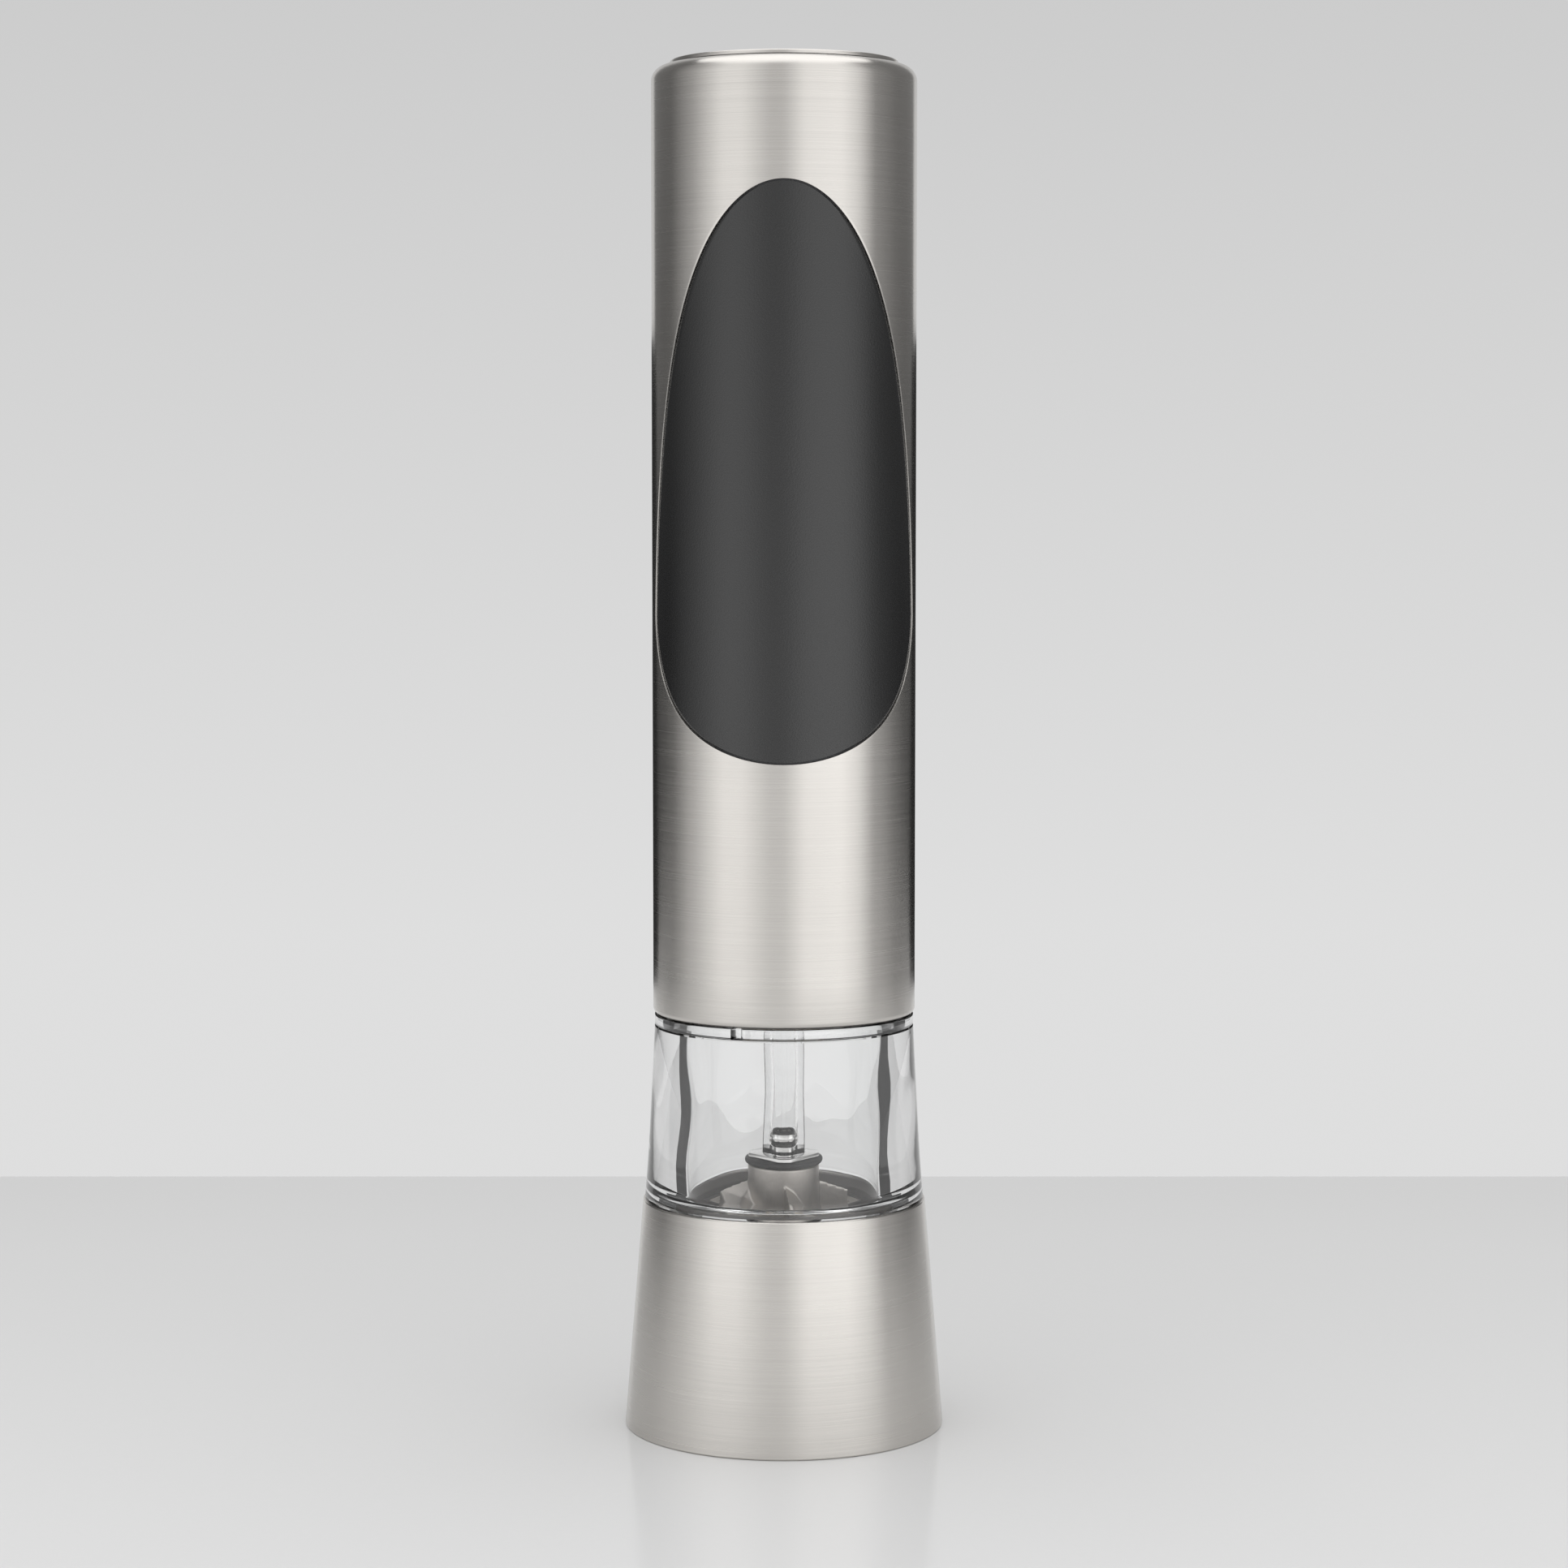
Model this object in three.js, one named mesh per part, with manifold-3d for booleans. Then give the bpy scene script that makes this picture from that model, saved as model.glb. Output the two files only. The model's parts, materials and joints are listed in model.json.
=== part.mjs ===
// Battery pepper mill: a steel base with a ceramic grinder, a clear pepper chamber on it,
// and a motor unit with its battery pack under a steel sleeve that pulls off.
// Millimetres, +Z up, the front towards -Y, the origin at the centre of the base's underside.
import * as THREE from 'three';
import { mergeVertices } from 'three/addons/utils/BufferGeometryUtils.js';
import Module from 'manifold-3d';

const wasm = await Module();
wasm.setup();

// ---- Facets and clearances ----
const FACETS = 32; // round pieces that are seen, and all that fit inside each other round them
const HIDDEN_FACETS = 24;
const CELL_FACETS = 20;
const FINE_FACETS = 16;
const PIN_FACETS = 12;
const SCREW_FACETS = 8;
const SEAT = 0.05; // between pieces that rest on each other
const REST_GAP = 0.3; // where a piece is cut to fit its neighbour
const FIT = 0.1; // radial, round pieces that are pushed together
const RUNNING = 0.06; // radial, round pieces that turn in each other
const PRESSED = 0.02; // radial, round pieces fixed to each other
const ROOT = 0.5; // how far two bodies run into each other where they are joined in one piece
const OVERSHOOT = 1; // how far a cutter runs past the piece that it cuts
const SECTOR_STEP = 7.5; // degrees

// ---- Screws ----
const SCREW_HEAD = 0.9;
const SCREW_HEAD_RADIUS = 1.35;
const SCREW_SHANK = 0.8;
const BLIND_FLOOR = 0.3; // left at the end of a blind screw hole

// ---- Base ----
const FOOT_RADIUS = 25.37;
const BASE_TOP_RADIUS = 22.4;
const BASE_HEIGHT = 36.4;
const SKIRT_WALL = 0.8;
const SKIRT_LIP = 1.3;
const LINER_WALL = 1.4;
const LINER_FLOOR_Z = 2.8;
const LINER_FLOOR = 1.6;
const LEDGE = 1.6;
const CUP_INSET = 5.4; // of the cup's wall from the base's top edge
const CUP_WALL = 1.1;
const CUP_FLANGE = 2.0;
const CUP_RISE = 1.6; // of the cup's rim above the steel base
const CUP_LIP = 0.6;
const FUNNEL_DEPTH = 2.8;
const FUNNEL_STEP = 0.4;
const SPIGOT = 4.85; // how far the chamber reaches into the base
const SEAL = 0.65;

// ---- Chamber and collar ----
const CHAMBER_HEIGHT = 27.8;
const CHAMBER_FOOT_INSET = 0.25;
const CHAMBER_TAPER = 0.82; // share of the outside's flare that is straight
const CHAMBER_CURVE = 4; // power by which the rest turns outwards at the foot
const BORE_FLARE = 8.1; // height over which the bore widens to the cup
const FLARE_BULGE = 0.8;
const FLARE_BULGE_SHARE = 0.65; // of the flare's height
const FLARE_FOOT = 0.6; // of the flare above the cup's rim
const NECK_WALL = 2.1;
const NECK_HEIGHT = 3.8;
const COLLAR_HEIGHT = 1.8;
const COLLAR_INSET = 0.22;
const COLLAR_SLEEVE = 1.1; // wall of the ring and tongues inside the sleeve
const TONGUE_HEIGHT = 4.4;
const TONGUE_ARC = 30; // degrees
const TONGUE_PLAY = 2; // degrees
const LUG_ARC = 26; // degrees
const LUG = 0.8;
const TONGUE_ROOT = 0.3;
const TONGUE_ANGLES = [90, 210, 330];

// ---- Grinder ----
const STATOR_HEIGHT = 9.9;
const STATOR_RIM = 2.3; // wall at the mouth
const STATOR_FOOT_WALL = 3.4; // wall at the throat
const CARRIER_WALL = 1.14;
const CARRIER_SHELF = 1.6;
const CARRIER_SHELF_WIDTH = 1.3;
const CARRIER_SKIRT = 2.0;
const STATOR_TOP_DROP = 2.4; // below the steel base's top edge
const GRIND_TRAVEL = 0.4;
const BURR_TEETH = 16;
const TOOTH_DEPTH = 0.5;
const GRIND_GAP = 0.4;
const ROTOR_SHOULDER = 0.7; // of the rotor burr's top round the hub
const ROTOR_HEIGHT = 8.8;
const ROTOR_RIM = 1.4;
const ROTOR_CLEARANCE = 1.8; // above the spider at the top of its travel
const HUB_RADIUS = 5.7;
const HUB_HEIGHT = 8.0;
const VANE_COUNT = 4;
const VANE_CLEARANCE = 1.9; // of the vanes from the stator's mouth
const VANE_HEIGHT = 5.4;
const VANE_TIP_HEIGHT = 3.35;
const VANE_TAIL_TIP = 0.5;
const VANE_TAIL_ROOT = 1.2;
const VANE_BITE = 1.2;
const VANE_RAKE = 4; // degrees
const VANE_SPREAD = 42; // degrees
const HUB_SEAL_RADIUS = 6.2;
const HUB_SEAL = 0.95;
const CAP_DISC_RADIUS = 5.6;
const CAP_DISC = 0.65;
const SHAFT_WIDTH = 5.0;
const SHAFT_CORNER = 0.8;
const SHAFT_FOOT_DEPTH = 4.6; // of the shaft below the cap disc's top
const BALL_RADIUS = 1.7;
const BALL_RISE = 2.4;
const BALL_TOP_ANGLE = 75;
const BALL_STEPS = 6;
const STUD_NECK = 0.9;
const BOLT_RADIUS = 1.5;
const BOLT_HEAD_RADIUS = 3.0;
const BOLT_HEAD = 1.4;
const BOLT_BITE = 1.5; // of the bolt in the hub
const STUD_GAP = 0.6; // between the bolt and the stud
const WASHER_RADIUS = 4.2;
const WASHER = 0.5;
const WASHER_GAP = 0.25;
const SPIDER_HUB = 3.4;
const SPIDER = 2.4;
const SPOKE_WIDTH = 2.6;
const SPOKE_BITE = 0.3;
const DIAL_WALL = 2.6;
const DIAL_RIBS = 16;
const DIAL_RIB = 0.5;
const DIAL_INSET = 1.4; // of the dial above the liner's floor

// ---- Motor unit ----
const PLATE = 2.95;
const BUSH_WALL = 1.4;
const SOCKET_RADIUS = 5.6;
const SOCKET_GRIP = 7.3; // length of shaft that the socket holds
const NECK_SEAL = 0.95;
const GEAR_MODULE = 0.5;
const SUN_TEETH = 12;
const PLANET_TEETH = 18;
const RING_TEETH = SUN_TEETH + 2 * PLANET_TEETH;
const PLANET_COUNT = 3;
const GEAR_WIDTH = 6.0;
const GEAR_GAP = 0.4;
const CARRIER = 1.8;
const PIN_RADIUS = 1.5;
const CARRIER_CLEARANCE = 1.1;
const RING_WALL = 2.4;
const RING_HEADROOM = 1.5;
const ADDENDUM = 0.9; // modules
const DEDENDUM = 1.2; // modules
const BACKLASH = 0.14;
const PRESSURE_ANGLE = THREE.MathUtils.degToRad(25);
const HOUSING_FLOOR = 0.95;
const HOUSING_FLOOR_GAP = 1.5; // round the output socket
const HOUSING_WALL = 3.8; // at least, round the screws' heads
const UNIT_SCREW = 8.0;
const COVER = 2.0;
const MOTOR_RADIUS = 13.85;
const MOTOR_LENGTH = 34.0;
const MOTOR_WALL = 1.0;
const MOTOR_BOSS_RADIUS = 5.0;
const MOTOR_BOSS = 1.5;
const MOTOR_SHAFT_RADIUS = 1.15;
const END_CAP = 3.3;
const END_CAP_FLOOR = 1.0;
const HOUSING_HEADROOM = 4.8;

// ---- Battery pack ----
const CELL_RADIUS = 7.1;
const CELL_LENGTH = 50.5;
const CELL_NUB_RADIUS = 2.7;
const CELL_NUB = 1.4;
const CELL_GAP = 0.3;
const PACK_MARGIN = 1.467; // of the holder round its cells
const CONTACT = 0.4;
const CONTACT_INSET = 0.7; // of a contact plate from the holder's post
const CONTACT_SPRING = 2.2;
const CONTACT_COIL_INSET = 0.8;
const CONTACT_TURNS = 2;
const HOLDER_DISC = 2.0;
const HOLDER_POST = 3.6;
const HOLDER_RIB_WIDTH = 4.0;
const HOLDER_RIB_DEPTH = 2.8;
const HOLDER_RIB_INSET = 0.5;

// ---- Switch and button ----
const SWITCH_WIDTH = 7.0;
const SWITCH_HEIGHT = 5.6;
const PLUNGER_RADIUS = 1.6;
const PLUNGER_PROUD = 3.0;
const PRESS_TRAVEL = 1.5;
const BUTTON_GAP = 0.3; // between the button and the sleeve's rim
const BUTTON_PROUD = 0.8;
const BUTTON_STEM = 10.1;
const BUTTON_STEM_RADIUS = 2.4;
const BUTTON_SKIRT = 4.4;
const BUTTON_WALL = 1.0;
const CAP_SHEET = 0.6;
const FLANGE = 1.0;
const FLANGE_PROUD = 0.7;
const GUIDE_FLOOR = 1.2;
const STEM_REACH = 1.2; // of the stem below the guide's floor
const BUTTON_SPRING_RADIUS = 4.4;
const BUTTON_SPRING_TURNS = 4;
const SPRING_WIRE = 0.35;
const COIL_STEPS = 7; // a turn
const WIRE_SIDES = 5;

// ---- Sleeve ----
const TUBE_WALL = 0.6;
const RIM_WIDTH = 2.52; // seen from above
const RIM_ROUND = 2.4;
const HEM_ROUND = 1.0;
const SLEEVE_LINER_WALL = 1.1;
const GRIP_WIDEST = 62.5; // height of the grip's widest line above the sleeve's lower edge
const GRIP_ABOVE = 66.6;
const GRIP_BELOW = 21.4;
const GRIP_HALF_ANGLE = 74.5;
const GRIP_POWER = 1.6;
const GRIP_GAP = 0.3;
const GRIP_ROWS = 14;
const GRIP_COLUMNS = 12;
const GRIP_CUT = 3; // of its cutter to either side of the sleeve's surface

// ---- Radii worked out from the sizes above ----
const planetOrbit = (GEAR_MODULE * (SUN_TEETH + PLANET_TEETH)) / 2;
const ringPitch = (GEAR_MODULE * RING_TEETH) / 2;
const ringRadius = ringPitch + RING_WALL;
const housingBore = Math.max(ringRadius, MOTOR_RADIUS) + FIT;
const cellOffset = CELL_RADIUS + CELL_GAP / 2;
const packRadius = cellOffset * Math.SQRT2 + CELL_RADIUS;
const unitRadius = Math.max(packRadius + PACK_MARGIN, housingBore + HOUSING_WALL);
const linerBore = unitRadius + FIT;
const linerOuter = linerBore + SLEEVE_LINER_WALL;
const tubeRadius = linerOuter + FIT + TUBE_WALL;
const rimBore = tubeRadius - RIM_WIDTH;
const buttonRadius = rimBore - BUTTON_GAP;
const collarRadius = tubeRadius - COLLAR_INSET;
const collarSleeveRadius = unitRadius - COLLAR_INSET;
const neckRadius = collarSleeveRadius - COLLAR_SLEEVE - FIT;
const chamberBore = neckRadius - NECK_WALL;
const cupRadius = BASE_TOP_RADIUS - CUP_INSET;
const cupBore = cupRadius - CUP_WALL;
const carrierRingRadius = cupBore - RUNNING;
const statorRadius = carrierRingRadius - CARRIER_WALL - FIT;
const statorMouth = statorRadius - STATOR_RIM;
const statorThroat = statorRadius - STATOR_FOOT_WALL;
const rotorFoot = statorThroat - TOOTH_DEPTH - GRIND_GAP;
const vaneReach = statorMouth - VANE_CLEARANCE;
const shaftReach = (SHAFT_WIDTH / 2 - SHAFT_CORNER) * Math.SQRT2 + SHAFT_CORNER;
const postReach = HOLDER_POST * Math.SQRT1_2;
const contactWidth = 2 * (cellOffset - postReach - CONTACT_INSET);

// ---- Heights worked out from the sizes above ----
const flangeTop = BASE_HEIGHT - SPIGOT - SEAL;
const flangeBottom = flangeTop - CUP_FLANGE;
const ledgeTop = flangeBottom - SEAT;
const ledgeBottom = ledgeTop - LEDGE;
const cupTop = BASE_HEIGHT + CUP_RISE;
const funnelStepTop = cupTop - FUNNEL_DEPTH;
const chamberTop = BASE_HEIGHT + CHAMBER_HEIGHT;
const sleeveBottom = chamberTop + COLLAR_HEIGHT;
const neckTop = chamberTop + NECK_HEIGHT;
const statorTop = BASE_HEIGHT - STATOR_TOP_DROP;
const statorBottom = statorTop - STATOR_HEIGHT;
const spiderTop = statorBottom - CARRIER_SHELF;
const spiderBottom = spiderTop - SPIDER;
const carrierRingBottom = spiderBottom - CARRIER_SKIRT;
const washerTop = spiderBottom - GRIND_TRAVEL - WASHER_GAP;
const rotorBottom = spiderTop + GRIND_TRAVEL + ROTOR_CLEARANCE;
const rotorTop = rotorBottom + ROTOR_HEIGHT;
const hubBottom = rotorTop + FIT;
const hubTop = hubBottom + HUB_HEIGHT;
const discTop = hubTop + SEAT + HUB_SEAL + SEAT + CAP_DISC;
const shaftFoot = discTop - SHAFT_FOOT_DEPTH;
const ballCentre = discTop + BALL_RISE;
const plateBottom = neckTop + SEAT + NECK_SEAL + SEAT;
const plateTop = plateBottom + PLATE;
const housingBottom = plateTop + SEAT;
const ringBottom = housingBottom + HOUSING_FLOOR + SEAT;
const lowerCarrierBottom = ringBottom + CARRIER_CLEARANCE;
const lowerCarrierTop = lowerCarrierBottom + CARRIER;
const lowerGearBottom = lowerCarrierTop + GEAR_GAP;
const upperCarrierBottom = lowerGearBottom + GEAR_WIDTH + GEAR_GAP;
const upperCarrierTop = upperCarrierBottom + CARRIER;
const upperGearBottom = upperCarrierTop + GEAR_GAP;
const ringTop = upperGearBottom + GEAR_WIDTH + RING_HEADROOM;
const coverBottom = ringTop + SEAT;
const coverTop = coverBottom + COVER;
const motorBottom = coverTop + SEAT;
const motorTop = motorBottom + MOTOR_LENGTH;
const socketFoot = lowerCarrierBottom - SOCKET_GRIP;
const shaftTop = lowerCarrierBottom + GEAR_GAP;
const housingTop = motorTop + END_CAP + HOUSING_HEADROOM;
const holderBottom = housingTop + SEAT;
const lowerContactBottom = holderBottom + HOLDER_DISC;
const cellFloor = lowerContactBottom + CONTACT + SEAT;
const upperContactBottom = cellFloor + CONTACT_SPRING + CELL_LENGTH + SEAT;
const holderDiscBottom = upperContactBottom + CONTACT;
const holderTop = holderDiscBottom + HOLDER_DISC;
const switchBottom = holderTop + SEAT;
const switchTop = switchBottom + SWITCH_HEIGHT;
const plungerTop = switchTop + PLUNGER_PROUD;
const stemFoot = plungerTop + REST_GAP;
const floorBottom = stemFoot + STEM_REACH;
const floorTop = floorBottom + GUIDE_FLOOR;
const buttonPlateBottom = stemFoot + BUTTON_STEM;
const buttonPlateTop = buttonPlateBottom + BUTTON_WALL;
const buttonTop = buttonPlateTop + SEAT + CAP_SHEET;
const tubeTop = buttonTop - BUTTON_PROUD;
const flangeFoot = buttonPlateTop - BUTTON_SKIRT;
const gripMiddle = sleeveBottom + GRIP_WIDEST;

// ---- Places of the screws ----
const screwOrbit = (cupRadius + skirtInner(flangeBottom) - LINER_WALL) / 2;
const plateScrewOrbit = (housingBore + unitRadius) / 2;
const SCREW_ANGLES = TONGUE_ANGLES.map((angle) => angle - 60);

// ---- Materials ----
function finish(color, metalness, roughness, extra = {}) {
  return new THREE.MeshStandardMaterial({ color, metalness, roughness, ...extra });
}
const clear = { transparent: true, opacity: 0.35 };
const FINISHES = {
  steel: () => finish(0xbdb8b1, 1, 0.32),
  polished: () => finish(0xd9d9d9, 1, 0.12),
  clear: () => finish(0xeef0f0, 0, 0.04, clear),
  grip: () => finish(0x39383a, 0, 0.7),
  zinc: () => finish(0xa8a19a, 0.6, 0.45),
  ceramic: () => finish(0xcfc8c0, 0, 0.55),
  dark: () => finish(0x3a3634, 0, 0.5),
  housing: () => finish(0x55565a, 0, 0.55),
  nylon: () => finish(0xe4e0d2, 0, 0.45),
  rubber: () => finish(0x2c2b2b, 0, 0.8),
  brass: () => finish(0xb5924c, 1, 0.3),
  cell: () => finish(0x2f6f5f, 0.2, 0.4),
};

// ---- Geometry helpers ----
function skirtRadius(z) {
  return FOOT_RADIUS + ((BASE_TOP_RADIUS - FOOT_RADIUS) * z) / BASE_HEIGHT;
}

function skirtInner(z) {
  return skirtRadius(z) - SKIRT_WALL - FIT;
}

/** Merges shared corners, drops empty triangles and turns the faces outwards. */
function closed(geometry) {
  geometry.deleteAttribute('normal');
  geometry.deleteAttribute('uv');
  const merged = mergeVertices(geometry, 1e-4);
  const place = merged.attributes.position;
  const corners = [];
  let volume = 0;
  for (let i = 0; i < merged.index.count; i += 3) {
    const [a, b, c] = [0, 1, 2].map((k) => merged.index.getX(i + k));
    if (a === b || b === c || c === a) continue;
    corners.push(a, b, c);
    const [p, q, r] = [a, b, c].map((k) => new THREE.Vector3().fromBufferAttribute(place, k));
    volume += p.dot(q.cross(r));
  }
  if (volume < 0) corners.reverse();
  merged.setIndex(corners);
  return merged;
}

/** A profile of [radius, height] pairs turned about the vertical axis. */
function turned(profile, facets = FACETS) {
  const onAxis = profile[0][0] === 0;
  const points = onAxis ? profile : [...profile, profile[0]];
  const lathe = new THREE.LatheGeometry(points.map(([r, z]) => new THREE.Vector2(r, z)), facets);
  return closed(lathe.rotateX(Math.PI / 2));
}

/** A ring of rectangular section. */
function ring(inner, outer, bottom, top, facets = FACETS) {
  return turned([[inner, bottom], [outer, bottom], [outer, top], [inner, top]], facets);
}

/** A solid round bar. */
function disc(radius, bottom, top, facets = FACETS) {
  return turned([[0, bottom], [radius, bottom], [radius, top], [0, top]], facets);
}

/** An outline of points, with holes, raised from bottom to top. */
function raised(outline, bottom, top, holes = []) {
  const shape = new THREE.Shape(outline);
  shape.holes = holes.map((hole) => new THREE.Path(hole));
  const options = { depth: top - bottom, bevelEnabled: false };
  return closed(new THREE.ExtrudeGeometry(shape, options).translate(0, 0, bottom));
}

function box(width, depth, bottom, top, x = 0, y = 0) {
  const block = new THREE.BoxGeometry(width, depth, top - bottom);
  return closed(block.translate(x, y, (bottom + top) / 2));
}

function polar(radius, degrees) {
  const angle = THREE.MathUtils.degToRad(degrees);
  return new THREE.Vector2(radius * Math.cos(angle), radius * Math.sin(angle));
}

function circle(radius, facets) {
  return Array.from({ length: facets }, (_, i) => polar(radius, (360 * i) / facets));
}

/** A sector of a ring, centred on an angle. */
function sector(inner, outer, centre, arc, bottom, top) {
  const steps = Math.max(2, Math.round(arc / SECTOR_STEP));
  const angles = Array.from({ length: steps + 1 }, (_, i) => centre - arc / 2 + (arc * i) / steps);
  const outside = angles.map((angle) => polar(outer, angle));
  const inside = angles.reverse().map((angle) => polar(inner, angle));
  return raised([...outside, ...inside], bottom, top);
}

/** An arc of [radius, height] pairs from one angle to another about a centre. */
function arc(centreRadius, centreHeight, radius, from, to, steps) {
  return Array.from({ length: steps + 1 }, (_, i) => {
    const angle = THREE.MathUtils.degToRad(from + ((to - from) * i) / steps);
    return [centreRadius + radius * Math.cos(angle), centreHeight + radius * Math.sin(angle)];
  });
}

function toManifold(geometry) {
  const mesh = new wasm.Mesh({
    numProp: 3,
    vertProperties: new Float32Array(geometry.attributes.position.array),
    triVerts: new Uint32Array(geometry.index.array),
  });
  return new wasm.Manifold(mesh);
}

function fromManifold(solid) {
  const mesh = solid.getMesh();
  const geometry = new THREE.BufferGeometry();
  geometry.setAttribute('position', new THREE.BufferAttribute(mesh.vertProperties, 3));
  geometry.setIndex(new THREE.BufferAttribute(mesh.triVerts, 1));
  return geometry;
}

function joined(...pieces) {
  return fromManifold(pieces.map(toManifold).reduce((all, piece) => all.add(piece)));
}

function cut(piece, ...cutters) {
  const whole = toManifold(piece);
  return fromManifold(cutters.map(toManifold).reduce((rest, cutter) => rest.subtract(cutter), whole));
}

function common(piece, other) {
  return fromManifold(toManifold(piece).intersect(toManifold(other)));
}

/** A square outline with round corners, one corner towards the front. */
function squareOutline(width, corner) {
  const points = [];
  const inset = (width / 2 - corner) * Math.SQRT2;
  for (let side = 0; side < 4; side += 1) {
    const centre = polar(inset, 90 * side);
    for (const turn of [-45, 0, 45]) points.push(polar(corner, 90 * side + turn).add(centre));
  }
  return points;
}

/** A coil spring that stands on its foot. */
function coil(radius, wire, bottom, height, turns, x = 0, y = 0) {
  const steps = turns * COIL_STEPS;
  const rise = height - 2 * wire;
  const points = Array.from({ length: steps + 1 }, (_, i) => {
    const spot = polar(radius, (360 * turns * i) / steps);
    return new THREE.Vector3(x + spot.x, y + spot.y, bottom + wire + (rise * i) / steps);
  });
  const section = new THREE.Shape(circle(wire, WIRE_SIDES));
  const options = { steps, extrudePath: new THREE.CatmullRomCurve3(points) };
  return closed(new THREE.ExtrudeGeometry(section, options));
}

/** Angle by which an involute flank has drawn in at a radius. */
function involute(radius, teeth) {
  const base = ((GEAR_MODULE * teeth) / 2) * Math.cos(PRESSURE_ANGLE);
  const slope = Math.acos(Math.min(1, base / radius));
  return Math.tan(slope) - slope;
}

/** Gear outline, its first tooth turned from +X by a share of the pitch. */
function gearOutline(teeth, low, high, play, phase = 0) {
  const pitch = (GEAR_MODULE * teeth) / 2;
  const half = (radius) => Math.PI / (2 * teeth) - play / (2 * pitch)
    + involute(pitch, teeth) - involute(radius, teeth);
  const points = [];
  for (let tooth = 0; tooth < teeth; tooth += 1) {
    const centre = (360 * (tooth + phase)) / teeth;
    for (const [radius, side] of [[low, -1], [high, -1], [high, 1], [low, 1]]) {
      points.push(polar(radius, centre + side * THREE.MathUtils.radToDeg(half(radius))));
    }
  }
  return points;
}

function gearPoints(teeth) {
  const pitch = (GEAR_MODULE * teeth) / 2;
  const [low, high] = [pitch - DEDENDUM * GEAR_MODULE, pitch + ADDENDUM * GEAR_MODULE];
  return gearOutline(teeth, low, high, BACKLASH / 2);
}

/** A turned ring whose inner or outer cone carries teeth. */
function toothed(profile, isToothed, facets) {
  const geometry = turned(profile, facets);
  const place = geometry.attributes.position;
  for (let i = 0; i < place.count; i += 1) {
    const [x, y] = [place.getX(i), place.getY(i)];
    const radius = Math.hypot(x, y);
    const step = Math.round((Math.atan2(y, x) * facets) / (2 * Math.PI));
    if (!isToothed(radius) || step % 2 === 0) continue;
    place.setXY(i, (x * (radius - TOOTH_DEPTH)) / radius, (y * (radius - TOOTH_DEPTH)) / radius);
  }
  return geometry;
}

/** Half the grip's width, as an angle, at a height: an egg with its broad end down. */
function gripHalfAngle(z) {
  const reach = z > gripMiddle ? GRIP_ABOVE : GRIP_BELOW;
  const share = Math.min(1, Math.abs(z - gripMiddle) / reach);
  return GRIP_HALF_ANGLE * Math.sqrt(1 - share ** GRIP_POWER);
}

/** The grip's outline carried radially through the sleeve's wall, grown by a margin. */
function gripBlock(facing, margin) {
  const low = gripMiddle - GRIP_BELOW;
  const high = gripMiddle + GRIP_ABOVE;
  const wider = THREE.MathUtils.radToDeg(margin / tubeRadius);
  const corners = [];
  for (const radius of [tubeRadius - GRIP_CUT, tubeRadius + GRIP_CUT]) {
    for (let row = 0; row <= GRIP_ROWS; row += 1) {
      const level = (1 - Math.cos((Math.PI * row) / GRIP_ROWS)) / 2;
      const z = low + (high - low) * level;
      const atEnd = row === 0 || row === GRIP_ROWS;
      const half = atEnd ? 0 : gripHalfAngle(z) + wider;
      const shifted = z + margin * (2 * level - 1);
      for (let column = 0; column <= GRIP_COLUMNS; column += 1) {
        const spot = polar(radius, facing + half * ((2 * column) / GRIP_COLUMNS - 1));
        corners.push(spot.x, spot.y, shifted);
      }
    }
  }
  const across = GRIP_COLUMNS + 1;
  const layer = across * (GRIP_ROWS + 1);
  const faces = [];
  const quad = (a, b, c, d) => faces.push(a, b, c, a, c, d);
  for (let row = 0; row < GRIP_ROWS; row += 1) {
    for (let column = 0; column < GRIP_COLUMNS; column += 1) {
      const at = row * across + column;
      quad(at, at + across, at + across + 1, at + 1);
      quad(layer + at, layer + at + 1, layer + at + across + 1, layer + at + across);
    }
    const [left, right] = [row * across, row * across + GRIP_COLUMNS];
    quad(left, layer + left, layer + left + across, left + across);
    quad(right, right + across, layer + right + across, layer + right);
  }
  const block = new THREE.BufferGeometry();
  block.setAttribute('position', new THREE.Float32BufferAttribute(corners, 3));
  block.setIndex(faces);
  return closed(block);
}

const mill = new THREE.Group();

function add(name, geometry, material, parent = mill) {
  const mesh = new THREE.Mesh(geometry, FINISHES[material]());
  mesh.name = name;
  parent.add(mesh);
}

/** A pan-head screw that stands on its head. */
function screw(name, spot, bottom, length) {
  const shoulder = bottom + SCREW_HEAD;
  const profile = [[0, bottom], [SCREW_HEAD_RADIUS, bottom], [SCREW_HEAD_RADIUS, shoulder],
    [SCREW_SHANK, shoulder], [SCREW_SHANK, shoulder + length], [0, shoulder + length]];
  add(name, turned(profile, SCREW_FACETS).translate(spot.x, spot.y, 0), 'steel');
}

/** Cutters for round holes of one radius at several spots. */
function drills(spots, radius, low, high) {
  return spots.map((spot) => disc(radius, low, high, SCREW_FACETS).translate(spot.x, spot.y, 0));
}

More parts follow.
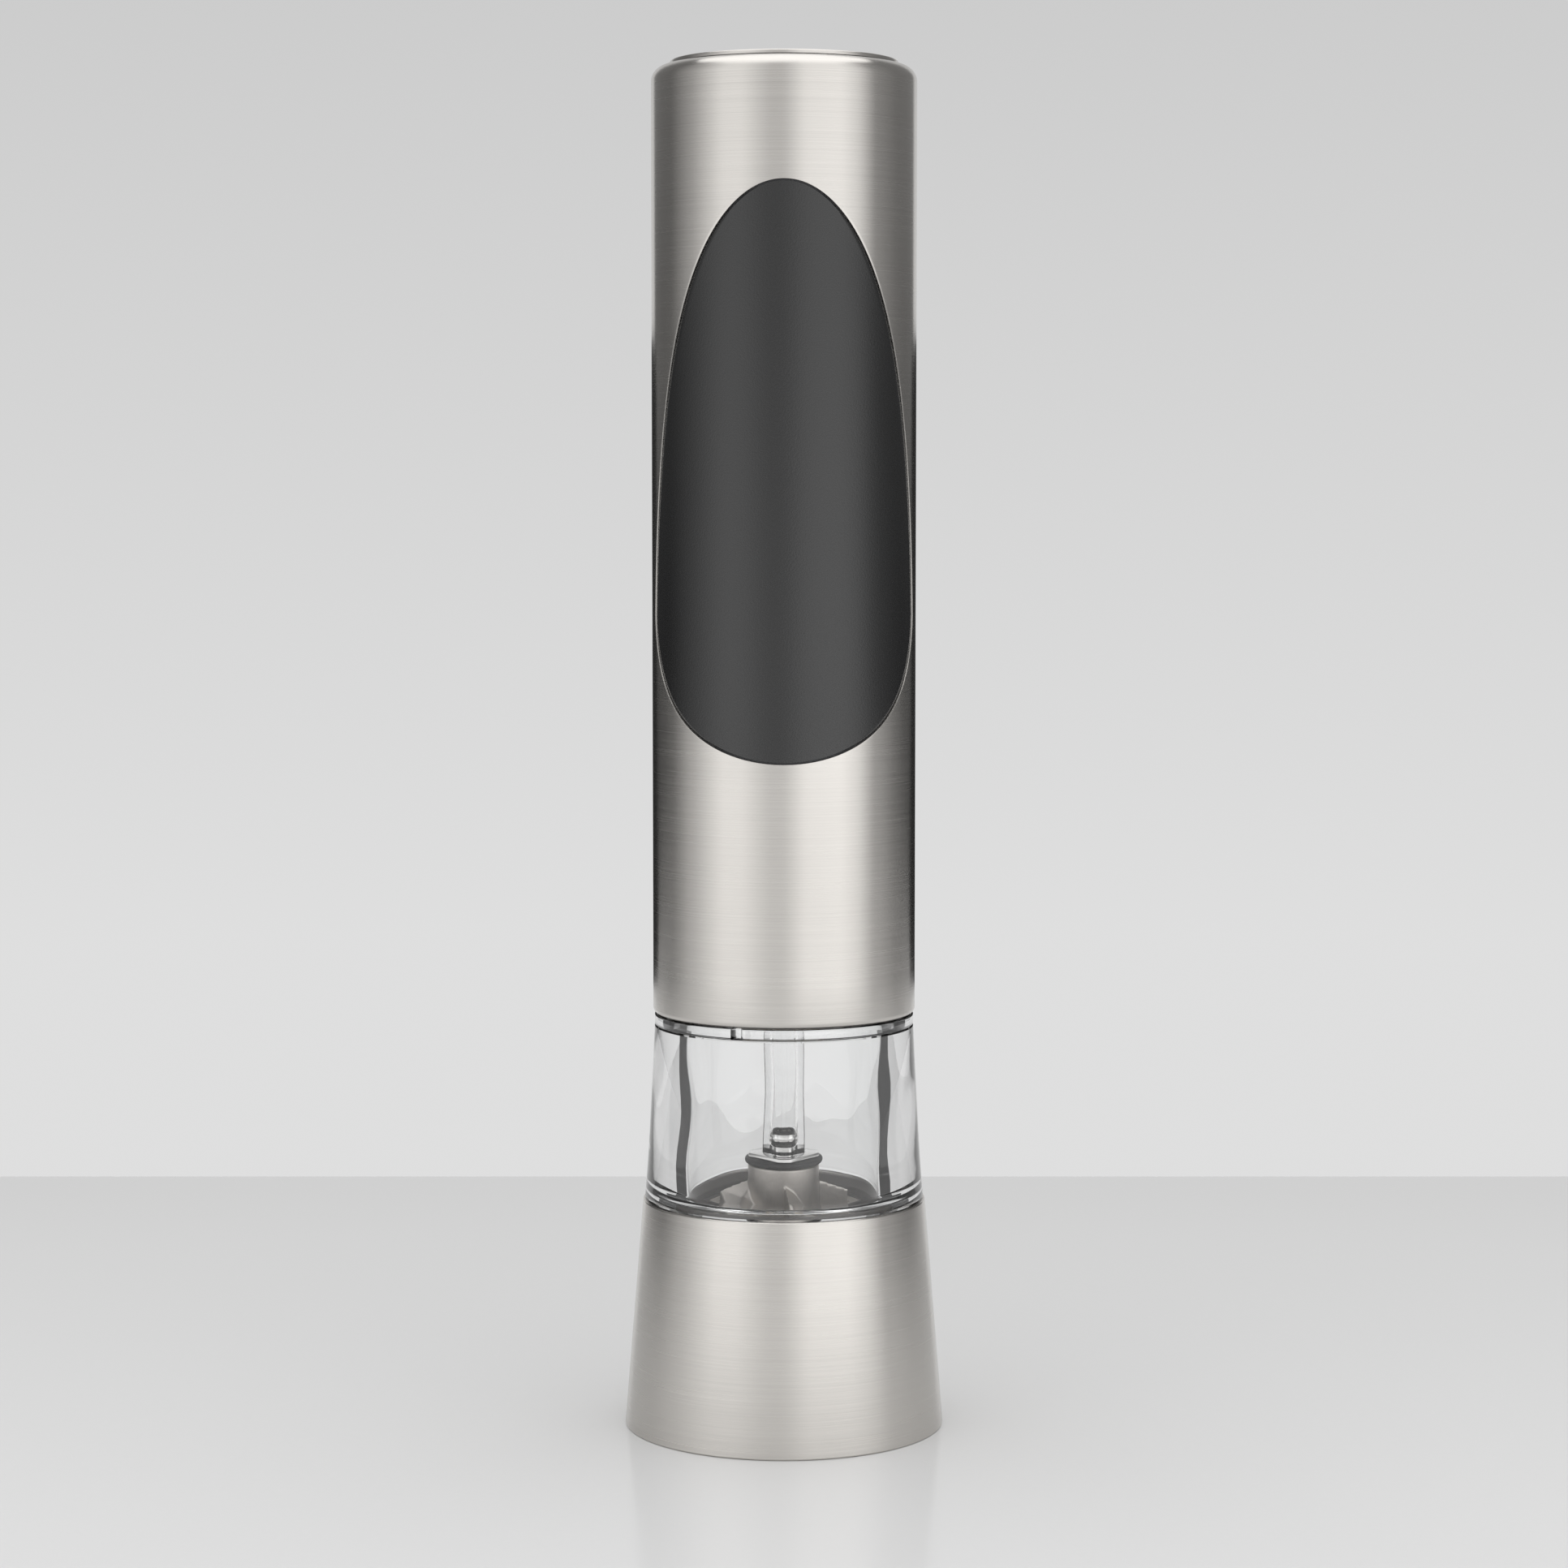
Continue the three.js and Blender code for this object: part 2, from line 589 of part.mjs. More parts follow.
// ---- Base: steel skirt, liner, grinder cup and clear chamber ----
function buildBase() {
  const lipZ = BASE_HEIGHT - SKIRT_WALL;
  add('base_skirt', turned([
    [FOOT_RADIUS - SKIRT_WALL, 0], [FOOT_RADIUS, 0], [BASE_TOP_RADIUS, BASE_HEIGHT],
    [BASE_TOP_RADIUS - SKIRT_LIP, BASE_HEIGHT], [BASE_TOP_RADIUS - SKIRT_LIP, lipZ],
    [skirtRadius(lipZ) - SKIRT_WALL, lipZ],
  ]), 'steel');

  const floorTopZ = LINER_FLOOR_Z + LINER_FLOOR;
  const linerTop = flangeTop;
  const hole = cupRadius + FIT;
  const liner = turned([
    [hole, LINER_FLOOR_Z], [skirtInner(LINER_FLOOR_Z), LINER_FLOOR_Z],
    [skirtInner(linerTop), linerTop], [skirtInner(linerTop) - LINER_WALL, linerTop],
    [skirtInner(linerTop) - LINER_WALL, ledgeTop], [hole, ledgeTop], [hole, ledgeBottom],
    [skirtInner(ledgeBottom) - LINER_WALL, ledgeBottom],
    [skirtInner(floorTopZ) - LINER_WALL, floorTopZ], [hole, floorTopZ],
  ]);
  const spots = SCREW_ANGLES.map((angle) => polar(screwOrbit, angle));
  const holes = (low, high) => drills(spots, SCREW_SHANK + PRESSED, low, high);
  add('base_liner', cut(liner, ...holes(ledgeBottom - OVERSHOOT, ledgeTop + OVERSHOOT)), 'dark');

  const flangeRadius = skirtInner(linerTop) - LINER_WALL - FIT;
  const cup = turned([
    [cupBore, LINER_FLOOR_Z], [cupRadius, LINER_FLOOR_Z], [cupRadius, flangeBottom],
    [flangeRadius, flangeBottom], [flangeRadius, flangeTop], [cupRadius, flangeTop],
    [cupRadius, cupTop], [cupRadius - CUP_LIP, cupTop], [cupBore - REST_GAP, funnelStepTop],
    [cupBore - REST_GAP, funnelStepTop - FUNNEL_STEP], [cupBore, funnelStepTop - FUNNEL_STEP],
  ]);
  const screwLength = flangeTop - BLIND_FLOOR - FIT - ledgeBottom;
  add('grinder_cup', cut(cup, ...holes(flangeBottom - OVERSHOOT, flangeTop - BLIND_FLOOR)), 'dark');
  spots.forEach((spot, i) => screw(`grinder_screw_${i + 1}`, spot, ledgeBottom - SCREW_HEAD, screwLength));

  const sealTop = BASE_HEIGHT - SPIGOT - SEAT;
  add('chamber_seal', ring(cupRadius + REST_GAP, flangeRadius - REST_GAP, flangeTop + SEAT, sealTop),
    'rubber');
}

/** The chamber's outer radius, at a share of its height down from the collar. */
function chamberRadius(share) {
  const foot = BASE_TOP_RADIUS - CHAMBER_FOOT_INSET;
  const curve = CHAMBER_TAPER * share + (1 - CHAMBER_TAPER) * share ** CHAMBER_CURVE;
  return collarRadius + (foot - collarRadius) * curve;
}

function buildChamber() {
  const foot = BASE_HEIGHT + SEAT;
  const outside = [0, 0.12, 0.3, 1].map((step) => [
    chamberRadius(1 - step), foot + (chamberTop - foot) * step]);
  const spigotRadius = BASE_TOP_RADIUS - SKIRT_LIP - FIT;
  const lowerBore = cupRadius + 2 * FIT;
  const bulgeZ = BASE_HEIGHT + FLARE_BULGE_SHARE * BORE_FLARE;
  const body = turned([
    [lowerBore, BASE_HEIGHT - SPIGOT], [spigotRadius, BASE_HEIGHT - SPIGOT], [spigotRadius, foot],
    ...outside, [neckRadius, chamberTop], [neckRadius, neckTop], [chamberBore, neckTop],
    [chamberBore, BASE_HEIGHT + BORE_FLARE], [chamberBore + FLARE_BULGE, bulgeZ],
    [lowerBore, cupTop + FLARE_FOOT],
  ]);
  const lugs = SCREW_ANGLES.map((angle) => sector(neckRadius - ROOT,
    neckRadius + COLLAR_SLEEVE, angle, LUG_ARC, neckTop - LUG, neckTop));
  add('chamber', joined(body, ...lugs), 'clear');
}

function buildCollar() {
  const inner = neckRadius + FIT;
  const bottom = chamberTop + SEAT;
  const top = sleeveBottom - SEAT;
  const ringTopZ = neckTop - LUG - REST_GAP;
  const body = turned([
    [inner, bottom], [collarRadius, bottom], [collarRadius, top],
    [collarSleeveRadius, top], [collarSleeveRadius, ringTopZ], [inner, ringTopZ],
  ]);
  const tongues = TONGUE_ANGLES.map((angle) => sector(inner + FIT, collarSleeveRadius - FIT / 2,
    angle, TONGUE_ARC, ringTopZ - TONGUE_ROOT, sleeveBottom + TONGUE_HEIGHT));
  add('bayonet_collar', joined(body, ...tongues), 'clear');
}

// ---- Grinder: stator that rises and falls, dial that moves it, rotor on the drive shaft ----
function buildGrinder() {
  const bore = statorRadius + FIT;
  const shelf = bore - CARRIER_SHELF_WIDTH;
  const shell = turned([
    [bore, carrierRingBottom], [carrierRingRadius, carrierRingBottom], [carrierRingRadius, statorTop],
    [bore, statorTop], [bore, statorBottom - SEAT], [shelf, statorBottom - SEAT],
    [shelf, spiderTop], [bore, spiderTop],
  ]);
  const bars = [0, 60, 120].map((angle) => box(2 * (bore + SPOKE_BITE), SPOKE_WIDTH, spiderBottom, spiderTop)
    .rotateZ(THREE.MathUtils.degToRad(angle)));
  const hub = disc(SPIDER_HUB, spiderBottom, spiderTop, FINE_FACETS);
  const hubBore = disc(BOLT_RADIUS + RUNNING, spiderBottom - OVERSHOOT, spiderTop + OVERSHOOT, FINE_FACETS);
  add('stator_carrier', cut(joined(shell, ...bars, hub), hubBore), 'dark');

  const stator = [[statorThroat, statorBottom], [statorRadius, statorBottom],
    [statorRadius, statorTop], [statorMouth, statorTop]];
  add('stator_burr', toothed(stator, (radius) => radius < statorThroat + FIT, 2 * BURR_TEETH),
    'ceramic');

  const dialTop = carrierRingBottom - GRIND_TRAVEL - FIT;
  const dialRadius = cupBore - FIT;
  const ribs = Array.from({ length: 2 * DIAL_RIBS }, (_, i) => polar(
    dialRadius - DIAL_WALL - (i % 2) * DIAL_RIB, (180 * i) / DIAL_RIBS));
  add('adjuster_dial', raised(circle(dialRadius, FACETS), LINER_FLOOR_Z + DIAL_INSET, dialTop, [ribs]),
    'housing');

  const boltHole = BOLT_RADIUS + PRESSED;
  const rotor = [[boltHole, rotorBottom], [rotorFoot, rotorBottom], [rotorFoot, rotorBottom + ROTOR_RIM],
    [HUB_RADIUS + ROTOR_SHOULDER, rotorTop], [boltHole, rotorTop]];
  add('rotor_burr', toothed(rotor, (radius) => radius > HUB_RADIUS, 2 * BURR_TEETH), 'ceramic');

  const vaneStep = 360 / VANE_COUNT;
  const vanes = Array.from({ length: VANE_COUNT }, (_, i) => vane(vaneStep * i - 90));
  const squareHole = squareOutline(SHAFT_WIDTH + 2 * RUNNING, SHAFT_CORNER + RUNNING);
  const socket = raised(squareHole, shaftFoot - RUNNING, hubTop + OVERSHOOT);
  const boltTop = hubBottom + BOLT_BITE;
  const boltBore = disc(boltHole, hubBottom - OVERSHOOT, boltTop + FIT, FINE_FACETS);
  const studBore = disc(STUD_NECK + PRESSED, boltTop + STUD_GAP, shaftFoot, FINE_FACETS);
  const feed = joined(disc(HUB_RADIUS, hubBottom, hubTop, HIDDEN_FACETS), ...vanes);
  add('feed_rotor', cut(feed, socket, boltBore, studBore), 'zinc');

  const boltFoot = washerTop - WASHER - SEAT - BOLT_HEAD;
  add('rotor_bolt', turned([[0, boltFoot], [BOLT_HEAD_RADIUS, boltFoot],
    [BOLT_HEAD_RADIUS, boltFoot + BOLT_HEAD], [BOLT_RADIUS, boltFoot + BOLT_HEAD],
    [BOLT_RADIUS, boltTop], [0, boltTop]], FINE_FACETS), 'steel');
  add('rotor_washer', ring(boltHole, WASHER_RADIUS, washerTop - WASHER, washerTop, FINE_FACETS),
    'polished');

  const sealBottom = hubTop + SEAT;
  add('hub_seal_ring', ring(shaftReach + FIT, HUB_SEAL_RADIUS, sealBottom,
    sealBottom + HUB_SEAL, HIDDEN_FACETS), 'rubber');
  add('hub_cap_disc', raised(circle(CAP_DISC_RADIUS, HIDDEN_FACETS), discTop - CAP_DISC, discTop,
    [squareHole]), 'polished');

  const neckBottom = boltTop + STUD_GAP + FIT;
  const neckAngle = THREE.MathUtils.radToDeg(Math.asin(STUD_NECK / BALL_RADIUS)) - 90;
  add('ball_stud', turned([[0, neckBottom], [STUD_NECK, neckBottom],
    ...arc(0, ballCentre, BALL_RADIUS, neckAngle, BALL_TOP_ANGLE, BALL_STEPS),
    [0, ballCentre + BALL_RADIUS]],
  FINE_FACETS), 'polished');
  const pocketRadius = BALL_RADIUS + FIT;
  const pocketNeck = STUD_NECK + FIT;
  const pocketAngle = THREE.MathUtils.radToDeg(Math.asin(pocketNeck / pocketRadius)) - 90;
  const pocket = turned([[0, shaftFoot - OVERSHOOT], [pocketNeck, shaftFoot - OVERSHOOT],
    ...arc(0, ballCentre, pocketRadius, pocketAngle, BALL_TOP_ANGLE, BALL_STEPS),
    [0, ballCentre + pocketRadius]],
  FINE_FACETS);
  const bar = raised(squareOutline(SHAFT_WIDTH, SHAFT_CORNER), shaftFoot, shaftTop);
  add('drive_shaft', cut(bar, pocket), 'clear');
}

/** One feed vane: upright at its leading face, sloping down behind it to the hub's foot. */
function vane(facing) {
  const foot = hubBottom + FIT;
  const root = HUB_RADIUS - VANE_BITE;
  const spots = [[root, 0], [vaneReach, VANE_RAKE], [vaneReach, VANE_SPREAD], [root, VANE_SPREAD]];
  const heights = [VANE_HEIGHT, VANE_TIP_HEIGHT, VANE_TAIL_TIP, VANE_TAIL_ROOT];
  const corners = [];
  spots.forEach(([radius, turn]) => {
    const spot = polar(radius, facing + turn);
    corners.push(spot.x, spot.y, foot);
  });
  spots.forEach(([radius, turn], i) => {
    const spot = polar(radius, facing + turn);
    corners.push(spot.x, spot.y, foot + heights[i]);
  });
  const block = new THREE.BufferGeometry();
  block.setAttribute('position', new THREE.Float32BufferAttribute(corners, 3));
  const faces = [0, 2, 1, 0, 3, 2, 4, 5, 6, 4, 6, 7];
  for (let side = 0; side < 4; side += 1) {
    const next = (side + 1) % 4;
    faces.push(side, next, next + 4, side, next + 4, side + 4);
  }
  block.setIndex(faces);
  return closed(block);
}

// ---- Motor unit: base plate, two-stage planetary gearbox, motor ----
function buildGearbox() {
  const bush = SOCKET_RADIUS + RUNNING;
  const plate = ring(bush + BUSH_WALL + FIT, unitRadius, plateBottom, plateTop);
  const notches = TONGUE_ANGLES.map((angle) => sector(neckRadius, unitRadius + OVERSHOOT, angle,
    TONGUE_ARC + TONGUE_PLAY, plateBottom - OVERSHOOT, sleeveBottom + TONGUE_HEIGHT + REST_GAP));
  const spots = SCREW_ANGLES.map((angle) => polar(plateScrewOrbit, angle));
  const sink = plateBottom + SCREW_HEAD + FIT;
  const heads = drills(spots, SCREW_HEAD_RADIUS + FIT, plateBottom - OVERSHOOT, sink);
  const shanks = (low, high) => drills(spots, SCREW_SHANK + PRESSED, low, high);
  add('unit_plate', cut(plate, ...notches, ...heads, ...shanks(plateBottom, plateTop + OVERSHOOT)),
    'housing');
  spots.forEach((spot, i) => screw(`unit_screw_${i + 1}`, spot, plateBottom + FIT / 2, UNIT_SCREW));
  add('neck_seal', ring(chamberBore + FIT, neckRadius - FIT, neckTop + SEAT, plateBottom - SEAT,
    HIDDEN_FACETS), 'rubber');
  add('output_bush', ring(bush, bush + BUSH_WALL, plateBottom, plateTop), 'brass');

  const floorHole = SOCKET_RADIUS + HOUSING_FLOOR_GAP;
  const housing = turned([
    [floorHole, housingBottom], [unitRadius, housingBottom], [unitRadius, housingTop],
    [housingBore, housingTop], [housingBore, ringBottom - SEAT], [floorHole, ringBottom - SEAT],
  ]);
  add('drive_housing', cut(housing, ...shanks(housingBottom - OVERSHOOT, sink + UNIT_SCREW + REST_GAP)),
    'housing');

  const toothTip = ringPitch - ADDENDUM * GEAR_MODULE;
  const space = gearOutline(RING_TEETH, toothTip, ringPitch + DEDENDUM * GEAR_MODULE, -BACKLASH / 2, 0.5);
  add('ring_gear', raised(circle(ringRadius, HIDDEN_FACETS), ringBottom, ringTop, [space]), 'nylon');

  const pins = (bottom, top) => planetSpots().map((spot) => disc(PIN_RADIUS, bottom, top, PIN_FACETS)
    .translate(spot.x, spot.y, 0));
  const carrierRadius = toothTip - REST_GAP;
  const socketHole = raised(squareOutline(SHAFT_WIDTH + 2 * RUNNING, SHAFT_CORNER + RUNNING),
    socketFoot - OVERSHOOT, shaftTop + REST_GAP);
  const output = joined(disc(SOCKET_RADIUS, socketFoot, lowerCarrierTop),
    disc(carrierRadius, lowerCarrierBottom, lowerCarrierTop, HIDDEN_FACETS),
    ...pins(lowerCarrierTop - ROOT, lowerGearBottom + GEAR_WIDTH - FIT));
  add('output_carrier', cut(output, socketHole), 'nylon');
  add('upper_carrier', joined(raised(gearPoints(SUN_TEETH), lowerGearBottom, upperCarrierBottom + ROOT),
    disc(carrierRadius, upperCarrierBottom, upperCarrierTop, HIDDEN_FACETS),
    ...pins(upperCarrierTop - ROOT, upperGearBottom + GEAR_WIDTH - FIT)), 'nylon');
  const stages = [['lower', lowerGearBottom], ['upper', upperGearBottom]];
  for (const [stage, bottom] of stages) {
    planetSpots().forEach((spot, i) => {
      const planet = raised(gearPoints(PLANET_TEETH), bottom, bottom + GEAR_WIDTH,
        [circle(PIN_RADIUS + RUNNING, PIN_FACETS)]);
      planet.rotateZ(Math.PI / PLANET_TEETH + (2 * Math.PI * i) / PLANET_COUNT);
      add(`${stage}_planet_${i + 1}`, planet.translate(spot.x, spot.y, 0), 'nylon');
    });
  }
  add('gearbox_cover', ring(MOTOR_BOSS_RADIUS + FIT, ringRadius, coverBottom, coverTop,
    HIDDEN_FACETS), 'housing');
}

function planetSpots() {
  return Array.from({ length: PLANET_COUNT }, (_, i) => polar(planetOrbit, (360 * i) / PLANET_COUNT));
}

function buildMotor() {
  const shaftHole = MOTOR_SHAFT_RADIUS + RUNNING;
  const inside = MOTOR_RADIUS - MOTOR_WALL;
  add('motor_can', turned([
    [shaftHole, motorBottom - MOTOR_BOSS], [MOTOR_BOSS_RADIUS, motorBottom - MOTOR_BOSS],
    [MOTOR_BOSS_RADIUS, motorBottom], [MOTOR_RADIUS, motorBottom], [MOTOR_RADIUS, motorTop],
    [inside, motorTop], [inside, motorBottom + MOTOR_WALL], [shaftHole, motorBottom + MOTOR_WALL],
  ], HIDDEN_FACETS), 'steel');
  const shaftEnd = motorTop + END_CAP / 2;
  add('motor_shaft', disc(MOTOR_SHAFT_RADIUS, upperGearBottom, shaftEnd, SCREW_FACETS), 'polished');
  add('motor_pinion', raised(gearPoints(SUN_TEETH), upperGearBottom + FIT,
    upperGearBottom + GEAR_WIDTH, [circle(MOTOR_SHAFT_RADIUS + PRESSED, SCREW_FACETS)]), 'brass');
  const capBottom = motorTop + SEAT;
  const capTop = capBottom + END_CAP;
  const capFloor = capTop - END_CAP_FLOOR;
  add('motor_end_cap', turned([[0, capFloor], [shaftHole, capFloor], [shaftHole, capBottom],
    [MOTOR_RADIUS - FIT, capBottom], [MOTOR_RADIUS - FIT, capTop], [0, capTop]],
  HIDDEN_FACETS), 'dark');
}

// ---- Battery pack ----
function buildBatteryPack() {
  const ribY = unitRadius - HOLDER_RIB_INSET - HOLDER_RIB_DEPTH / 2;
  const [low, high] = [lowerContactBottom - ROOT, holderDiscBottom + ROOT];
  const post = box(HOLDER_POST, HOLDER_POST, low, high).rotateZ(Math.PI / 4);
  const ribs = [-ribY, ribY].map((y) => box(HOLDER_RIB_WIDTH, HOLDER_RIB_DEPTH, low, high, 0, y));
  add('battery_holder', joined(disc(unitRadius, holderBottom, lowerContactBottom),
    disc(unitRadius, holderDiscBottom, holderTop), post, ...ribs), 'housing');

  const quarters = [[1, 1, true], [-1, 1, false], [-1, -1, true], [1, -1, false]];
  quarters.forEach(([sx, sy, upright], i) => {
    const shoulder = CELL_LENGTH - CELL_NUB;
    const profile = [[0, 0], [CELL_RADIUS, 0], [CELL_RADIUS, shoulder], [CELL_NUB_RADIUS, shoulder],
      [CELL_NUB_RADIUS, CELL_LENGTH], [0, CELL_LENGTH]];
    const foot = upright ? cellFloor + CONTACT_SPRING : cellFloor;
    const turnedOver = profile.map(([r, z]) => [r, CELL_LENGTH - z]);
    const cell = turned(upright ? profile : turnedOver, CELL_FACETS);
    add(`battery_${i + 1}`, cell.translate(sx * cellOffset, sy * cellOffset, foot), 'cell');
  });

  const contactLength = 2 * cellOffset + contactWidth;
  const coilRadius = contactWidth / 2 - CONTACT_COIL_INSET;
  const sunk = SPRING_WIRE / 2; // of a spring's end turn into its contact plate
  const reach = CONTACT_SPRING + sunk - SEAT;
  for (const [side, y] of [['front', -cellOffset], ['rear', cellOffset]]) {
    const top = lowerContactBottom + CONTACT;
    const plate = box(contactLength, contactWidth, lowerContactBottom + SEAT / 2, top, 0, y);
    const spring = coil(coilRadius, SPRING_WIRE, top - sunk, reach, CONTACT_TURNS, y, y);
    add(`lower_contact_${side}`, joined(plate, spring), 'brass');
  }
  for (const [side, x] of [['left', -cellOffset], ['right', cellOffset]]) {
    const plate = box(contactWidth, contactLength, upperContactBottom, holderDiscBottom - SEAT / 2, x, 0);
    const springFoot = upperContactBottom + sunk - reach;
    const spring = coil(coilRadius, SPRING_WIRE, springFoot, reach, CONTACT_TURNS, x, -x);
    add(`upper_contact_${side}`, joined(plate, spring), 'brass');
  }
}

// ---- Switch, top button and its guide ----
function buildButton() {
  const wellDepth = PLUNGER_PROUD + PRESS_TRAVEL;
  const wellRadius = PLUNGER_RADIUS + RUNNING;
  const well = disc(wellRadius, switchTop - wellDepth, switchTop + OVERSHOOT, FINE_FACETS);
  add('switch_body', cut(box(SWITCH_WIDTH, SWITCH_WIDTH, switchBottom, switchTop), well), 'dark');
  add('switch_plunger', disc(PLUNGER_RADIUS, switchTop - wellDepth + PRESS_TRAVEL + FIT, plungerTop,
    FINE_FACETS), 'nylon');

  const skirtOut = buttonRadius - FIT;
  const flangeOut = buttonRadius + FLANGE_PROUD;
  const guideTop = tubeTop - TUBE_WALL - SEAT;
  const lipBottom = flangeFoot + FLANGE + REST_GAP;
  const linerTop = floorBottom - REST_GAP;
  add('sleeve_liner', ring(linerBore, linerOuter, sleeveBottom + HEM_ROUND + REST_GAP, linerTop),
    'housing');
  const roundInset = RIM_ROUND - (guideTop - (tubeTop - RIM_ROUND));
  add('button_guide', turned([
    [BUTTON_STEM_RADIUS + RUNNING, floorBottom], [linerOuter, floorBottom],
    [linerOuter, tubeTop - RIM_ROUND - SEAT], [linerOuter - RIM_ROUND + roundInset, guideTop],
    [buttonRadius + FIT / 2, guideTop], [buttonRadius + FIT / 2, lipBottom],
    [flangeOut + FIT, lipBottom], [flangeOut + FIT, floorTop],
    [BUTTON_STEM_RADIUS + RUNNING, floorTop],
  ]), 'dark');
  add('button_core', turned([
    [0, stemFoot], [BUTTON_STEM_RADIUS, stemFoot], [BUTTON_STEM_RADIUS, buttonPlateBottom],
    [skirtOut - BUTTON_WALL, buttonPlateBottom], [skirtOut - BUTTON_WALL, flangeFoot],
    [flangeOut, flangeFoot], [flangeOut, flangeFoot + FLANGE], [skirtOut, flangeFoot + FLANGE],
    [skirtOut, buttonPlateTop], [0, buttonPlateTop],
  ]), 'dark');
  add('button_cap', turned([[0, buttonPlateTop + SEAT], [skirtOut, buttonPlateTop + SEAT],
    [skirtOut, buttonTop - CAP_SHEET / 2], [skirtOut - CAP_SHEET, buttonTop], [0, buttonTop]]), 'steel');
  const springFoot = floorTop + SEAT;
  const springHeight = buttonPlateBottom - springFoot - SEAT;
  add('button_spring', coil(BUTTON_SPRING_RADIUS, SPRING_WIRE, springFoot, springHeight,
    BUTTON_SPRING_TURNS), 'polished');
}

// ---- Sleeve: steel tube with its two grips ----
function buildSleeve() {
  const inside = tubeRadius - TUBE_WALL;
  const rimOut = arc(tubeRadius - RIM_ROUND, tubeTop - RIM_ROUND, RIM_ROUND, 0, 90, 3);
  const rimIn = arc(tubeRadius - RIM_ROUND, tubeTop - RIM_ROUND, RIM_ROUND - TUBE_WALL, 90, 0, 2);
  const hemOut = arc(tubeRadius - HEM_ROUND, sleeveBottom + HEM_ROUND, HEM_ROUND, -90, 0, 2);
  const tube = turned([
    [tubeRadius - HEM_ROUND, sleeveBottom + TUBE_WALL], ...hemOut, ...rimOut,
    [rimBore, tubeTop], [rimBore, tubeTop - TUBE_WALL], ...rimIn,
    [inside, sleeveBottom + HEM_ROUND],
  ]);
  const sides = [['front_grip', 270], ['rear_grip', 90]];
  add('steel_tube', cut(tube, ...sides.map(([, facing]) => gripBlock(facing, GRIP_GAP))), 'steel');
  const pad = ring(linerOuter + SEAT + FIT, tubeRadius - SEAT, sleeveBottom, tubeTop);
  for (const [name, facing] of sides) add(name, common(pad, gripBlock(facing, 0)), 'grip');
}

buildBase();
buildChamber();
buildCollar();
buildGrinder();
buildGearbox();
buildMotor();
buildBatteryPack();
buildButton();
buildSleeve();

export default mill;
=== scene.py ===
"""The looks of a battery pepper mill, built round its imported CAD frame.

Every piece stands where its CAD node is and rides on that node's body. Sizes of the mill's
pieces are millimetres, and those of the finishes and the studio are metres. New shapes are
surfaces of two parameters worked out with numpy, and finishes are small node trees that read
Object coordinates.
"""

import json
import logging
from dataclasses import dataclass
from enum import Enum
from typing import Callable, Optional, Union

import bpy
import numpy as np
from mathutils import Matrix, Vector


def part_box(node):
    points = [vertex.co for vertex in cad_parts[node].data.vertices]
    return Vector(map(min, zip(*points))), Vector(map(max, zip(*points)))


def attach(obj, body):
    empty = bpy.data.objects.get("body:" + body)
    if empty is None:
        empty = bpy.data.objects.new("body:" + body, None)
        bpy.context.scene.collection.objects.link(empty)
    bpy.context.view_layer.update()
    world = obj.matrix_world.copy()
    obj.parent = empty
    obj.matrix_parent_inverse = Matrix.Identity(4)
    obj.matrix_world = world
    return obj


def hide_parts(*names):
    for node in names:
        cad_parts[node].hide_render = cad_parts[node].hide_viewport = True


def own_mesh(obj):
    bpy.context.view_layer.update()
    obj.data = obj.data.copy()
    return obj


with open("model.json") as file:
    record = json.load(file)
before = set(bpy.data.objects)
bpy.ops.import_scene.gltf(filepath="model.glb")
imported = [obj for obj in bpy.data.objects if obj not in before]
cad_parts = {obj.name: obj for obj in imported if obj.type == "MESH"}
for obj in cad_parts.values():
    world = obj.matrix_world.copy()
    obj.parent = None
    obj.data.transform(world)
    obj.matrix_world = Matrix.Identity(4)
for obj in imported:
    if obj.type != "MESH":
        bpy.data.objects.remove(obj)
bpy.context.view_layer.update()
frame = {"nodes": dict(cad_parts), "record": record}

LOG = logging.getLogger("pepper_mill")
MM = 0.001
COLUMNS = 160
RIBBED_COLUMNS = 2 * COLUMNS
TOOTHED_COLUMNS = 3 * COLUMNS
SMALL_COLUMNS = 96
FILLET_STEPS = 5
WELD = 1e-7
SHARP = np.radians(32.0)
FRONT = -90.0
REAR = 90.0
SLOT_OF = {part["node"]: part["material_slot"] for part in frame["record"]["subparts"]}
BODY_OF = {
    node: body
    for body, nodes in frame["record"]["behaviour"]["bodies"].items()
    for node in nodes
}

Array = np.ndarray
Color = tuple[float, float, float]


# ---------------------------------------------------------------------------
# Surfaces
# ---------------------------------------------------------------------------
@dataclass(frozen=True)
class Envelope:
    """A CAD node's height range and radius about the mill's axis, in millimetres."""

    bottom: float
    top: float
    radius: float

    @classmethod
    def of(cls, node: str) -> "Envelope":
        """The envelope of a node of the frame."""
        low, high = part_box(node)
        return cls(low.z / MM, high.z / MM, high.x / MM)


